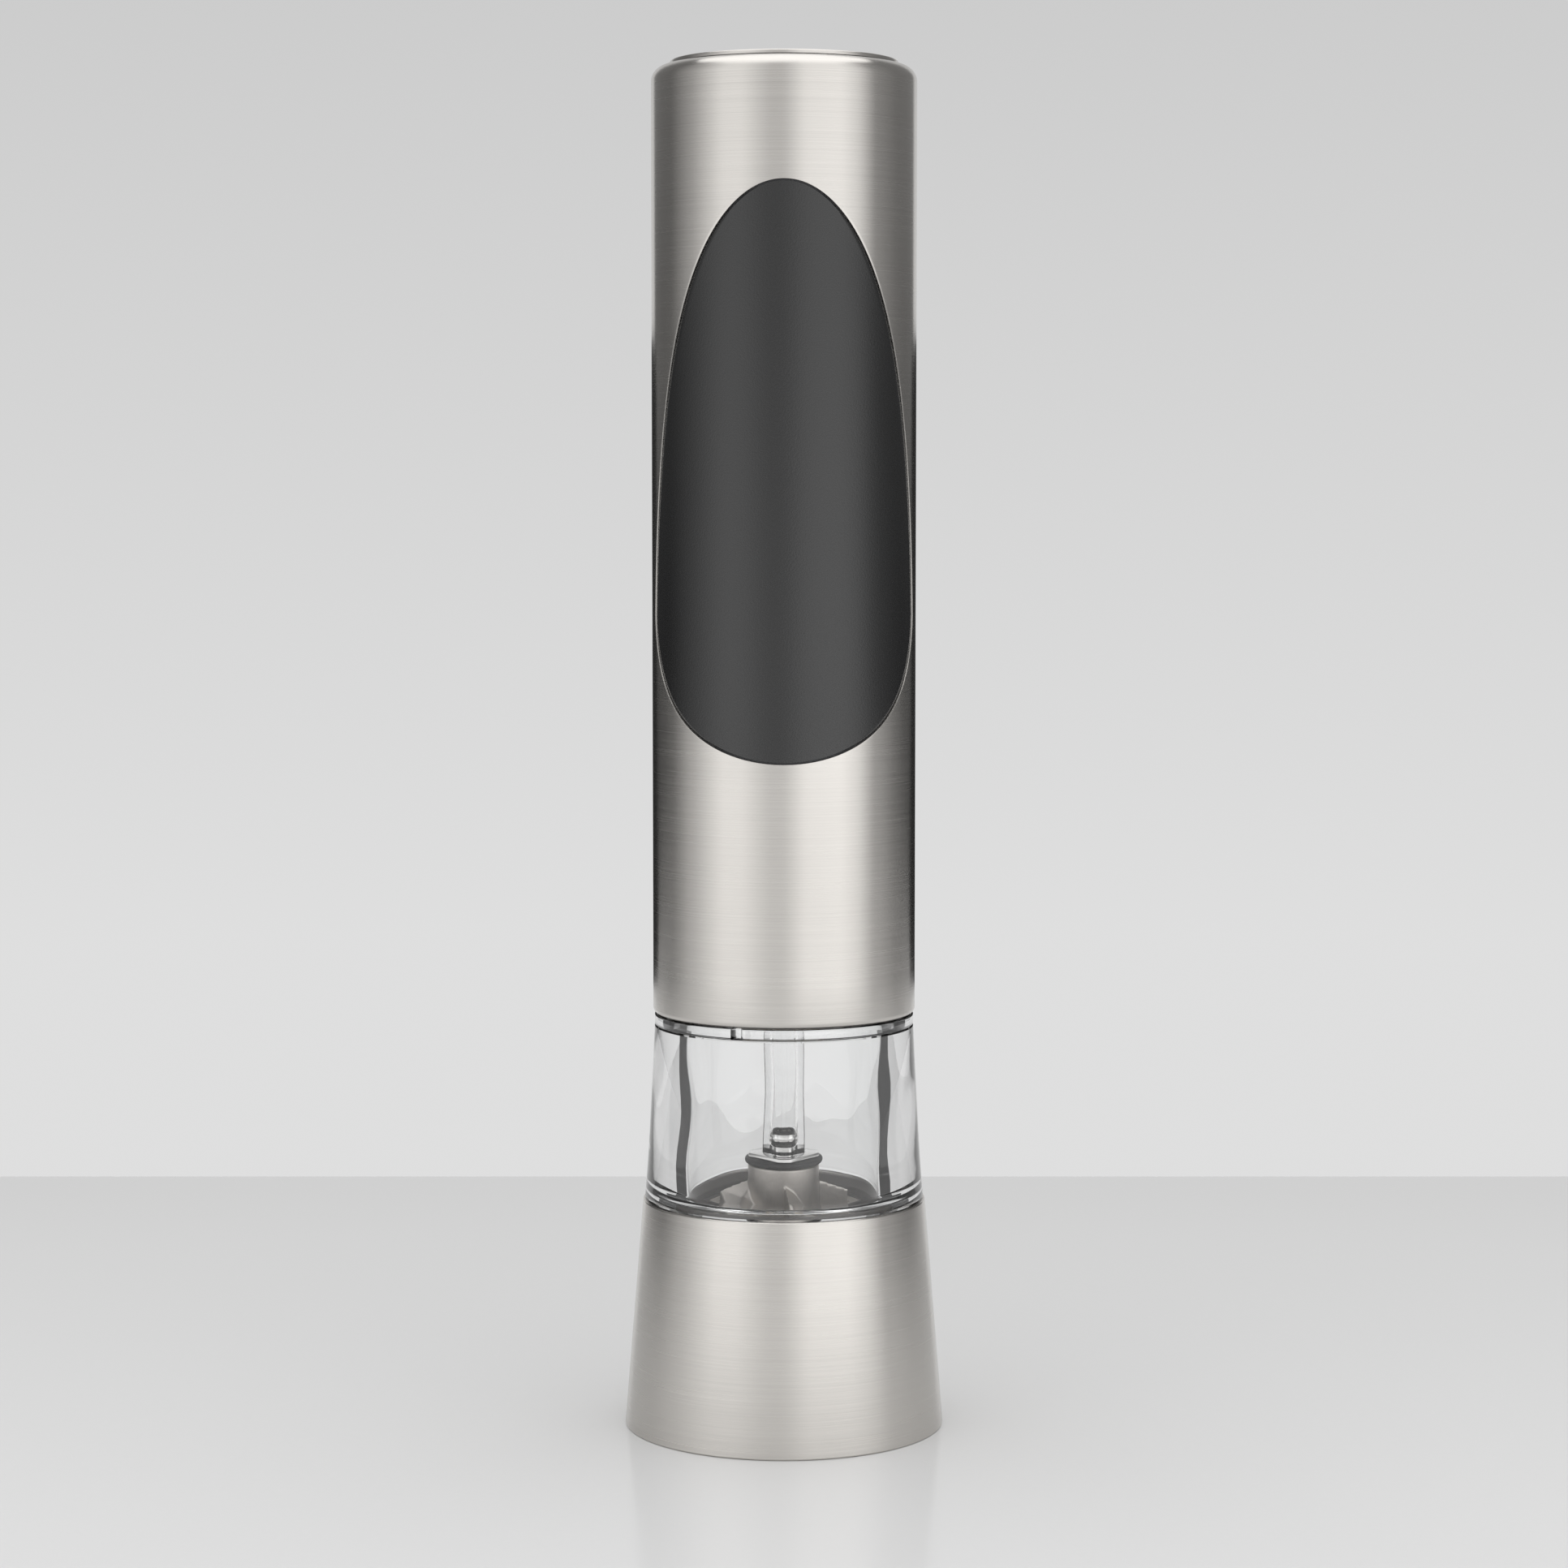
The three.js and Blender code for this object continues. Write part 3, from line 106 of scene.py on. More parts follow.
def rounded(corners: list[tuple[float, float, float]], steps: int = FILLET_STEPS) -> Array:
    """A closed outline whose corners are arcs.

    At a corner P between unit directions a and b, with angle t between them, the arc of
    radius r touches the sides at r / tan(t / 2) from P. Its points turn evenly about the
    centre P + (a + b) / |a + b| * r / sin(t / 2).

    Args:
        corners: Radius, height and fillet radius of each corner, in order.
        steps: Steps of each arc.

    Returns:
        The outline's points, one row of radius and height each.
    """
    table = np.array(corners, float)
    place, fillet = table[:, :2], table[:, 2]
    back = np.roll(place, 1, axis=0) - place
    ahead = np.roll(place, -1, axis=0) - place
    back /= np.linalg.norm(back, axis=1, keepdims=True)
    ahead /= np.linalg.norm(ahead, axis=1, keepdims=True)
    half = np.arccos(np.clip((back * ahead).sum(axis=1), -1, 1)) / 2
    middle = back + ahead
    middle /= np.maximum(np.linalg.norm(middle, axis=1, keepdims=True), 1e-9)
    centre = place + middle * (fillet / np.sin(half))[:, None]
    touch = (fillet / np.tan(half))[:, None]
    start = place + back * touch - centre
    end = place + ahead * touch - centre
    turn = (np.pi - 2 * half)[:, None, None]
    share = np.linspace(0, 1, steps + 1)[None, :, None]
    swept = np.sin((1 - share) * turn) * start[:, None] + np.sin(share * turn) * end[:, None]
    points = (centre[:, None] + swept / np.sin(turn)).reshape(-1, 2)
    apart = np.linalg.norm(points - np.roll(points, 1, axis=0), axis=1) > 1e-6
    return points[apart]


def arc(centre: tuple[float, float], radius: float, start: float, end: float, steps: int) -> Array:
    """Points of a circle's arc from one angle to another, in degrees."""
    angle = np.radians(np.linspace(start, end, steps + 1))
    return np.array(centre) + radius * np.stack([np.cos(angle), np.sin(angle)], axis=-1)


def wrapped(radius: Union[float, Array], angle: Array, height: Union[float, Array]) -> Array:
    """Points at radii, angles and heights about the mill's axis: (r cos t, r sin t, z)."""
    across, back = radius * np.cos(angle), radius * np.sin(angle)
    return np.stack(np.broadcast_arrays(across, back, height), axis=-1)


def turned(profile: Array, columns: int = COLUMNS) -> Array:
    """A profile of radius and height turned about the mill's axis.

    Args:
        profile: One row of radius and height for each grid row, in millimetres.
        columns: Columns of the grid.

    Returns:
        A grid of points, in millimetres.
    """
    angle = np.linspace(0, 2 * np.pi, columns, endpoint=False)
    return wrapped(profile[:, :1], angle, profile[:, 1:])


def angles(columns: int = COLUMNS) -> Array:
    """The angle of each column of a turned grid, in degrees from +X."""
    return np.linspace(0, 360, columns, endpoint=False)


def window(angle: Array, centre: float, width: float, edge: float) -> Array:
    """One inside a sector, nought outside, with a smooth step of a given width in degrees."""
    away = np.abs((angle - centre + 180) % 360 - 180)
    share = np.clip((width / 2 - away) / edge + 0.5, 0, 1)
    return share * share * (3 - 2 * share)


def swollen(grid: Array, change: Array) -> Array:
    """A turned grid with its radius changed point by point, in millimetres."""
    radius = np.hypot(grid[..., 0], grid[..., 1])
    factor = (radius + change) / np.maximum(radius, 1e-9)
    return grid * np.stack([factor, factor, np.ones_like(factor)], axis=-1)


def rounded_square(width: float, corner: float, steps: int = 8) -> Array:
    """A square outline with round corners, one corner towards +X.

    Each corner is a quarter turn of its radius about a centre that lies on an axis.

    Args:
        width: Distance across the flats.
        corner: Corner radius.
        steps: Steps of each quarter turn.

    Returns:
        The outline's points, one row of x and y each.
    """
    facing = np.radians(90.0 * np.arange(4))[:, None]
    turn = facing + np.radians(np.linspace(-45, 45, steps + 1))
    reach = (width / 2 - corner) * np.sqrt(2)
    x = reach * np.cos(facing) + corner * np.cos(turn)
    y = reach * np.sin(facing) + corner * np.sin(turn)
    return np.stack([x.ravel(), y.ravel()], axis=-1)


def lofted(rings: list[tuple[Array, float]]) -> Array:
    """Outlines of x and y at heights, stacked as the rows of a grid."""
    return np.stack([np.column_stack([ring, np.full(len(ring), z)]) for ring, z in rings])


def round_like(outline: Array, radius: float) -> Array:
    """A circle whose points lie in the directions of an outline's points."""
    return outline / np.linalg.norm(outline, axis=1, keepdims=True) * radius


def quads_of(rows: int, columns: int, rows_meet: bool, columns_meet: bool) -> Array:
    """Corner numbers of a grid's four-sided faces, closed over its ends where they meet."""
    number = np.arange(rows * columns).reshape(rows, columns)
    if rows_meet:
        number = np.concatenate([number, number[:1]])
    if columns_meet:
        number = np.concatenate([number, number[:, :1]], axis=1)
    faces = [number[:-1, :-1], number[:-1, 1:], number[1:, 1:], number[1:, :-1]]
    return np.stack(faces, axis=-1).reshape(-1, 4)


def piece_from(name: str, points: Array, quads: Array) -> bpy.types.Object:
    """A mesh object with shared corners welded and its faces turned outwards.

    Corners closer than the weld distance become one. A face that loses a corner becomes a
    triangle, and one that loses two is dropped. If the signed volume, a sixth of the sum of
    a . (b x c) over the triangles, is below nought, every face is turned round.

    Args:
        name: The object's name.
        points: Corners in millimetres, one row each.
        quads: Corner numbers of the four-sided faces.

    Returns:
        The object, at the origin, with its place in its mesh.
    """
    metres = points * MM
    _, first, packed = np.unique(
        np.round(metres / WELD), axis=0, return_index=True, return_inverse=True
    )
    corners = metres[first]
    faces = packed.reshape(-1)[quads]
    lost = faces == np.roll(faces, -1, axis=1)
    whole = faces[lost.sum(axis=1) == 0]
    cut = lost.sum(axis=1) == 1
    triangles = faces[cut][~lost[cut]].reshape(-1, 3)
    fans = np.concatenate([whole[:, [0, 1, 2]], whole[:, [0, 2, 3]], triangles])
    a, b, c = (corners[fans[:, k]] for k in range(3))
    if (a * np.cross(b, c)).sum() < 0:
        whole, triangles = whole[:, ::-1], triangles[:, ::-1]
    mesh = bpy.data.meshes.new(name)
    mesh.from_pydata(corners.tolist(), [], whole.tolist() + triangles.tolist())
    mesh.shade_smooth()
    mesh.set_sharp_from_angle(angle=SHARP)
    made = bpy.data.objects.new(name, mesh)
    bpy.context.scene.collection.objects.link(made)
    return made


def skin(name: str, *grids: Array, rows_meet: bool = False, columns_meet: bool = True) -> bpy.types.Object:
    """One object from grids of points in millimetres, welded where they touch."""
    points = np.concatenate([grid.reshape(-1, 3) for grid in grids])
    starts = np.cumsum([0] + [grid.shape[0] * grid.shape[1] for grid in grids])
    quads = [
        start + quads_of(*grid.shape[:2], rows_meet, columns_meet)
        for start, grid in zip(starts, grids)
    ]
    return piece_from(name, points, np.concatenate(quads))


def settle(piece: bpy.types.Object) -> bpy.types.Object:
    """Applies a piece's modifiers and marks its sharp edges again."""
    graph = bpy.context.evaluated_depsgraph_get()
    mesh = bpy.data.meshes.new_from_object(piece.evaluated_get(graph))
    piece.modifiers.clear()
    piece.data = mesh
    mesh.shade_smooth()
    mesh.set_sharp_from_angle(angle=SHARP)
    return piece


def modified(piece: bpy.types.Object, kind: str, **settings: object) -> bpy.types.Object:
    """Adds a modifier with its settings."""
    modifier = piece.modifiers.new(kind.lower(), kind)
    for key, value in settings.items():
        setattr(modifier, key, value)
    return piece


def eased(piece: bpy.types.Object, width: float, angle: float, **settings: object) -> None:
    """Bevels a piece's edges sharper than an angle in degrees, by a width in millimetres."""
    modified(
        piece, "BEVEL", width=width * MM, segments=2, limit_method="ANGLE",
        angle_limit=np.radians(angle), **settings,
    )


# ---------------------------------------------------------------------------
# Node trees
# ---------------------------------------------------------------------------
Value = Union[float, "Signal"]


def arithmetic(operation: str, swapped: bool = False) -> Callable[["Signal", Value], "Signal"]:
    """An operator of Signal that adds one Math node, with its values swapped if asked."""

    def operator(self: "Signal", other: Value) -> "Signal":
        """The outcome of the operation on two values."""
        first, second = (other, self) if swapped else (self, other)
        return self.bench.maths(operation, first, second)

    return operator


class Signal:
    """A number that varies over a surface, on which arithmetic adds Math nodes."""

    def __init__(self, bench: "Bench", socket: bpy.types.NodeSocket) -> None:
        """Wraps one output socket of a bench's tree."""
        self.bench = bench
        self.socket = socket

    __add__ = arithmetic("ADD")
    __radd__ = arithmetic("ADD", swapped=True)
    __sub__ = arithmetic("SUBTRACT")
    __rsub__ = arithmetic("SUBTRACT", swapped=True)
    __mul__ = arithmetic("MULTIPLY")
    __rmul__ = arithmetic("MULTIPLY", swapped=True)
    __pow__ = arithmetic("POWER")

    def above(self, edge: float) -> "Signal":
        """One where the value is above an edge, and nought elsewhere."""
        return self.bench.maths("GREATER_THAN", self, edge)

    def ramped(self, low: float, high: float, start: float = 0.0, end: float = 1.0) -> "Signal":
        """The value stretched so that low becomes a start and high an end, clamped."""
        node = self.bench.node(
            "ShaderNodeMapRange", {"clamp": True},
            {"Value": self, "From Min": low, "From Max": high, "To Min": start, "To Max": end},
        )
        return Signal(self.bench, node.outputs["Result"])


class Bench:
    """The node tree of one material or surround, with the tools to wire it."""

    def __init__(self, owner: bpy.types.ID, coordinate: str = "Object") -> None:
        """Starts an empty tree with one coordinate to read."""
        self.owner = owner
        self.owner.use_nodes = True
        self.tree = self.owner.node_tree
        self.tree.nodes.clear()
        self.place = self.node("ShaderNodeTexCoord").outputs[coordinate]

    @classmethod
    def material(cls, name: str) -> "Bench":
        """The bench of a new material."""
        return cls(bpy.data.materials.new(name))

    def feed(self, socket: bpy.types.NodeSocket, value: object) -> None:
        """Links or sets one input socket."""
        if isinstance(value, Signal):
            self.tree.links.new(value.socket, socket)
        elif isinstance(value, bpy.types.NodeSocket):
            self.tree.links.new(value, socket)
        else:
            socket.default_value = value

    def node(
        self, kind: str, settings: Optional[dict] = None, inputs: Optional[dict] = None
    ) -> bpy.types.Node:
        """Adds a node of any type.

        Args:
            kind: The node's type.
            settings: Its properties, set first.
            inputs: Values or links of its sockets, by name or number.

        Returns:
            The node.
        """
        made = self.tree.nodes.new(kind)
        for key, value in (settings or {}).items():
            setattr(made, key, value)
        for key, value in (inputs or {}).items():
            self.feed(made.inputs[key], value)
        return made

    def maths(self, operation: str, first: Value, second: Value) -> Signal:
        """One Math node on two values."""
        node = self.node("ShaderNodeMath", {"operation": operation}, {0: first, 1: second})
        return Signal(self, node.outputs[0])

    def axes(self) -> tuple[Signal, Signal, Signal]:
        """The coordinate's three numbers."""
        node = self.node("ShaderNodeSeparateXYZ", inputs={0: self.place})
        return tuple(Signal(self, socket) for socket in node.outputs)

    def noise(self, stretch: Union[float, Color], detail: float = 2.0, vector: object = None) -> Signal:
        """Noise of so many blotches a metre, either one number or one for each axis."""
        stretch = stretch if isinstance(stretch, tuple) else (stretch,) * 3
        scaled = self.node(
            "ShaderNodeMapping", inputs={"Vector": vector or self.place, "Scale": stretch}
        )
        node = self.node(
            "ShaderNodeTexNoise",
            inputs={"Vector": scaled.outputs[0], "Scale": 1.0, "Detail": detail},
        )
        return Signal(self, node.outputs[0])

    def vector(self, x: Value, y: Value, z: Value) -> bpy.types.NodeSocket:
        """Three numbers as a vector."""
        return self.node("ShaderNodeCombineXYZ", inputs={0: x, 1: y, 2: z}).outputs[0]

    def blend(self, share: Value, first: object, second: object) -> bpy.types.NodeSocket:
        """Two colours mixed by a share."""
        sides = [tuple(c) + (1.0,) if isinstance(c, tuple) else c for c in (first, second)]
        node = self.node(
            "ShaderNodeMix", {"data_type": "RGBA"}, {0: share, 6: sides[0], 7: sides[1]}
        )
        return node.outputs[2]

    def bump(self, height: Signal, depth: float, strength: float = 1.0) -> bpy.types.NodeSocket:
        """A surface normal tilted by a height, with the depth of the full height in metres."""
        node = self.node(
            "ShaderNodeBump", inputs={"Height": height, "Distance": depth, "Strength": strength}
        )
        return node.outputs[0]

    def close(self, kind: str, output: str, **sockets: object) -> bpy.types.ID:
        """Ends the tree in a shader.

        Args:
            kind: The shader's type.
            output: The type of the output node behind it.
            sockets: Values of the shader's sockets, named with underscores.

        Returns:
            The material or surround.
        """
        named = {key.replace("_", " "): value for key, value in sockets.items()}
        shader = self.node(kind, inputs=named)
        self.tree.links.new(shader.outputs[0], self.node(output).inputs[0])
        return self.owner

    def finish(self, **sockets: object) -> bpy.types.Material:
        """Ends the tree in a Principled shader."""
        return self.close("ShaderNodeBsdfPrincipled", "ShaderNodeOutputMaterial", **sockets)

    def glow(self, radiance: object) -> bpy.types.Material:
        """Ends the tree in a plain emission of a colour or a signal."""
        return self.close(
            "ShaderNodeEmission", "ShaderNodeOutputMaterial", Color=radiance, Strength=1.0
        )


# ---------------------------------------------------------------------------
# Finishes
# ---------------------------------------------------------------------------
@dataclass(frozen=True)
class BrushedSteel:
    """Steel brushed round the axis: long fine lines of light and dark with a soft gloss."""

    color: Color = (0.71, 0.685, 0.65)
    shade: Color = (0.60, 0.578, 0.55)
    roughness: float = 0.25
    lines: float = 14000.0
    along: float = 28.0
    fine_share: float = 0.78
    cloud_share: float = 0.35
    tones: tuple = (0.42, 0.95)
    unevenness: float = 0.16
    anisotropy: float = 0.85
    depth: float = 0.0000018

    def build(self, name: str) -> bpy.types.Material:
        """The material."""
        bench = Bench.material(name)
        fine = bench.noise((self.along, self.along, self.lines), 3.0)
        coarse = bench.noise((self.along / 3, self.along / 3, self.lines / 7), 2.0)
        cloud = bench.noise(45.0, 2.0)
        line = self.fine_share * fine + (1 - self.fine_share) * coarse
        tone = (line + self.cloud_share * cloud).ramped(*self.tones)
        return bench.finish(
            Base_Color=bench.blend(tone, self.shade, self.color),
            Metallic=1.0,
            Roughness=self.roughness + self.unevenness * (line - 0.5),
            Anisotropic=self.anisotropy,
            Anisotropic_Rotation=0.25,
            Normal=bench.bump(line, self.depth),
        )


@dataclass(frozen=True)
class LathedSteel:
    """Metal with fine lines round the axis on its faces, as a lathe or a polish leaves."""

    color: Color
    shade: Color
    roughness: float
    lines: float = 5000.0
    depth: float = 0.000006
    unevenness: float = 0.12
    wear: float = 0.05

    def build(self, name: str) -> bpy.types.Material:
        """The material: lines follow the distance from the axis, the square root of x2 + y2."""
        bench = Bench.material(name)
        x, y, z = bench.axes()
        reach = (x * x + y * y) ** 0.5
        spot = bench.vector(reach * self.lines, z * self.lines, x * 40.0)
        line = bench.noise(1.0, 3.0, spot)
        cloud = bench.noise(160.0, 3.0)
        return bench.finish(
            Base_Color=bench.blend((line + cloud).ramped(0.6, 1.4), self.shade, self.color),
            Metallic=1.0,
            Roughness=self.roughness + self.unevenness * (line - 0.5) + self.wear * cloud,
            Normal=bench.bump(line, self.depth),
        )


@dataclass(frozen=True)
class ClearPlastic:
    """Clear moulded acrylic: smooth, with the faint waves of the mould under its gloss."""

    color: Color = (0.985, 0.99, 0.99)
    index: float = 1.49
    waves: Color = (90.0, 90.0, 30.0)
    wave_depth: float = 0.00006
    wave_strength: float = 0.5

    def build(self, name: str) -> bpy.types.Material:
        """The material."""
        bench = Bench.material(name)
        wave = bench.noise(self.waves, 1.0)
        return bench.finish(
            Base_Color=bench.blend(wave.ramped(0.3, 0.7), self.color, (1.0, 1.0, 1.0)),
            Roughness=0.0,
            IOR=self.index,
            Transmission_Weight=1.0,
            Normal=bench.bump(wave, self.wave_depth, self.wave_strength),
        )


@dataclass(frozen=True)
class Rubber:
    """Matt rubber with a fine even grain."""

    color: Color
    roughness: float = 0.5
    grain: float = 4200.0
    depth: float = 0.00003
    specular: float = 0.42
    grain_share: float = 0.7
    tones: tuple = (0.82, 1.25)
    unevenness: float = 0.14
    wear: float = 0.06

    def build(self, name: str) -> bpy.types.Material:
        """The material."""
        bench = Bench.material(name)
        grain = bench.noise(self.grain, 2.0)
        worn = bench.noise((60.0, 60.0, 40.0), 3.0)
        dark, light = (tuple(tone * c for c in self.color) for tone in self.tones)
        mixed = (self.grain_share * grain + (1 - self.grain_share) * worn).ramped(0.32, 0.68)
        return bench.finish(
            Base_Color=bench.blend(mixed, dark, light),
            Roughness=self.roughness + self.unevenness * (grain - 0.5) + self.wear * (worn - 0.5),
            Normal=bench.bump(grain, self.depth),
            Specular_IOR_Level=self.specular,
        )


@dataclass(frozen=True)
class Moulded:
    """Moulded plastic or fired ceramic: a faint grain, small specks and an even colour."""

    color: Color
    roughness: float
    grain: float = 2600.0
    depth: float = 0.00002
    specks: float = 0.12
    metallic: float = 0.0
    unevenness: float = 0.12
    wear: float = 0.08

    def build(self, name: str) -> bpy.types.Material:
        """The material."""
        bench = Bench.material(name)
        grain = bench.noise(self.grain, 2.0)
        flow = bench.noise((220.0, 220.0, 90.0), 3.0)
        dark = tuple((1 - self.specks) * c for c in self.color)
        light = tuple(min(1.0, (1 + self.specks) * c) for c in self.color)
        return bench.finish(
            Base_Color=bench.blend((0.5 * grain + 0.5 * flow).ramped(0.3, 0.7), dark, light),
            Metallic=self.metallic,
            Roughness=self.roughness + self.unevenness * (grain - 0.5) + self.wear * (flow - 0.5),
            Normal=bench.bump(grain, self.depth),
        )


@dataclass(frozen=True)
class CellSleeve:
    """A battery's printed sleeve, plain but for a band, with bare metal at both ends."""

    body: Color = (0.035, 0.10, 0.085)
    band: Color = (0.62, 0.50, 0.26)
    metal: Color = (0.72, 0.71, 0.69)
    low: float = 0.1405
    high: float = 0.1905
    band_low: float = 0.1795
    print_metallic: float = 0.25
    roughness: float = 0.22
    unevenness: float = 0.12
    depth: float = 0.000008

    def build(self, name: str) -> bpy.types.Material:
        """The material: bands by height, with a fine grain."""
        bench = Bench.material(name)
        height = bench.axes()[2]
        grain = bench.noise((3000.0, 3000.0, 300.0), 2.0)
        sleeve = height.above(self.low) * (1 - height.above(self.high))
        banded = bench.blend(height.above(self.band_low), self.body, self.band)
        toned = bench.blend(0.3 * grain, banded, (0.02, 0.02, 0.02))
        return bench.finish(
            Base_Color=bench.blend(sleeve, self.metal, toned),
            Metallic=1 - (1 - self.print_metallic) * sleeve,
            Roughness=self.roughness + self.unevenness * grain,
            Normal=bench.bump(grain, self.depth),
        )


class Slot(Enum):
    """The record's material slots, and the finish of each."""

    BRUSHED = ("brushed_steel", BrushedSteel())
    CLEAR = ("clear_plastic", ClearPlastic())
    GRIP = ("grip_rubber", Rubber((0.004, 0.004, 0.0044), 0.28, specular=0.8))
    ZINC = ("zinc_casting", Moulded((0.50, 0.47, 0.44), 0.36, 1800.0, 0.00003, 0.1, 0.85))
    CERAMIC = ("ceramic_burr", Moulded((0.60, 0.55, 0.50), 0.42, 3000.0, 0.00004, 0.16))
    BLACK = ("black_plastic", Moulded((0.155, 0.143, 0.134), 0.42))
    GREY = ("grey_plastic", Moulded((0.12, 0.12, 0.13), 0.45))
    NYLON = ("white_nylon", Moulded((0.78, 0.75, 0.67), 0.4, specks=0.05))
    SEAL = ("seal_rubber", Rubber((0.03, 0.03, 0.03), 0.55, 3000.0))
    BRASS = ("brass", LathedSteel((0.72, 0.53, 0.24), (0.58, 0.41, 0.17), 0.28))
    CELL = ("battery_label", CellSleeve())
    POLISHED = ("polished_steel", LathedSteel((0.92, 0.91, 0.90), (0.84, 0.83, 0.82), 0.08))
    SCREW = ("screw_steel", LathedSteel((0.60, 0.59, 0.57), (0.42, 0.41, 0.40), 0.3))

    @property
    def slot(self) -> str:
        """The slot's name in the record."""
        return self.value[0]


class Paint:
    """Makes each slot's material once and puts it on pieces."""

    bevel_angle = 40.0

    def __init__(self) -> None:
        """Starts with nothing mixed."""
        self.mixed: dict[str, bpy.types.Material] = {}
        self.recipes = {member.slot: member.value[1] for member in Slot}

    def of(self, slot: str) -> bpy.types.Material:
        """The material of a slot, made when it is first asked for."""
        if slot not in self.mixed:
            self.mixed[slot] = self.recipes[slot].build(slot)
        return self.mixed[slot]

    def coat(self, piece: bpy.types.Object, material: bpy.types.Material) -> None:
        """Puts one material on a piece in place of what it has."""
        piece.data.materials.clear()
        piece.data.materials.append(material)

    def stand(self, piece: bpy.types.Object, node: str) -> bpy.types.Object:
        """Lets a new piece stand for a CAD node, with its body and finish.

        Args:
            piece: The new piece, in place.
            node: The CAD node that it stands for.

        Returns:
            The piece.
        """
        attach(piece, BODY_OF[node])
        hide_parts(node)
        self.coat(piece, self.of(SLOT_OF[node]))
        LOG.info("%s stands for %s on body %s", piece.name, node, BODY_OF[node])
        return piece

    def dress(self, node: str, edge: float) -> None:
        """Gives a carried-over CAD node its finish, and soft edges if their width isn't nought.

        Args:
            node: The CAD node.
            edge: Width of the bevel on its sharp edges, in millimetres.
        """
        kept = frame["nodes"][node]
        self.coat(kept, self.of(SLOT_OF[node]))
        if edge:
            modified(kept, "WELD", merge_threshold=WELD)
            eased(kept, edge, self.bevel_angle, harden_normals=True)
        LOG.info("%s kept from the CAD", node)


@dataclass
class Assembly:
    """A sub-assembly, which stands new pieces for CAD nodes or dresses the nodes themselves."""

    paint: Paint

    def cover(self, name: str, node: str, *grids: Array) -> None:
        """Makes a closed piece from grids of points and lets it stand for a CAD node."""
        self.paint.stand(skin(name, *grids, rows_meet=True), node)

    def dress(self, edge: float, *nodes: str) -> None:
        """Gives CAD nodes their finish and a bevel of a width, or none at nought."""
        for node in nodes:
            self.paint.dress(node, edge)


# ---------------------------------------------------------------------------
# Base and chamber
# ---------------------------------------------------------------------------
@dataclass
class Base(Assembly):
    """The steel base with its cup and dial."""

    top_radius: float = 22.4
    wall: float = 0.8
    lip: float = 1.3
    cup_inset: float = 5.4
    cup_wall: float = 1.1
    cup_lip: float = 0.6
    lip_drop: float = 1.6
    flange_radius: float = 20.45
    flange_bottom: float = 28.9
    flange_top: float = 30.9
    funnel_depth: float = 2.8
    funnel_step: float = 0.4
    step_inset: float = 0.3
    dial_wall: float = 2.6
    dial_ribs: int = 32
    dial_rib: float = 0.45

    def build(self) -> None:
        """Makes the shown pieces and dresses the hidden ones."""
        self.skirt()
        self.cup()
        self.dial()
        self.dress(0.1, "base_liner", "chamber_seal")
        self.dress(0.08, "grinder_screw_1", "grinder_screw_2", "grinder_screw_3")

    def skirt(self) -> None:
        """The flared steel shell: a straight cone, turned in at the top, with eased edges."""
        size = Envelope.of("base_skirt")
        slope = (self.top_radius - size.radius) / size.top
        lip_z = size.top - self.wall
        inner = size.radius + slope * lip_z - self.wall
        profile = rounded([
            (size.radius - self.wall, size.bottom, 0.2),
            (size.radius, size.bottom, 0.3),
            (self.top_radius, size.top, 0.3),
            (self.top_radius - self.lip, size.top, 0.15),
            (self.top_radius - self.lip, lip_z, 0.15),
            (inner, lip_z, 0.3),
        ])
        self.cover("skirt", "base_skirt", turned(profile))

    def cup(self) -> None:
        """The plastic cup that holds the grinder, with its funnel mouth."""
        size = Envelope.of("grinder_cup")
        outer = self.top_radius - self.cup_inset
        bore = outer - self.cup_wall
        lip_z = size.top - self.lip_drop
        step = size.top - self.funnel_depth
        profile = rounded([
            (bore, size.bottom, 0.2),
            (outer, size.bottom, 0.3),
            (outer, self.flange_bottom, 0.1),
            (self.flange_radius, self.flange_bottom, 0.2),
            (self.flange_radius, self.flange_top, 0.2),
            (outer, self.flange_top, 0.2),
            (outer, lip_z, 0.25),
            (outer - self.cup_lip, lip_z, 0.25),
            (bore - self.step_inset, step, 0.1),
            (bore - self.step_inset, step - self.funnel_step, 0.1),
            (bore, step - self.funnel_step, 0.05),
        ])
        self.cover("cup", "grinder_cup", turned(profile))

    def dial(self) -> None:
        """The grind dial: a ring whose bore has finger ribs, a cosine of the angle."""
        size = Envelope.of("adjuster_dial")
        inner = size.radius - self.dial_wall
        profile = rounded([
            (inner, size.bottom, 0.6), (size.radius, size.bottom, 0.4),
            (size.radius, size.top, 0.4), (inner, size.top, 0.3),
        ])
        wave = np.cos(np.radians(angles(RIBBED_COLUMNS) * self.dial_ribs / 2))
        inside = profile[:, :1] < size.radius - self.dial_wall / 2
        change = inside * self.dial_rib * (0.5 * wave - 0.5)
        self.cover("dial", "adjuster_dial", swollen(turned(profile, RIBBED_COLUMNS), change))


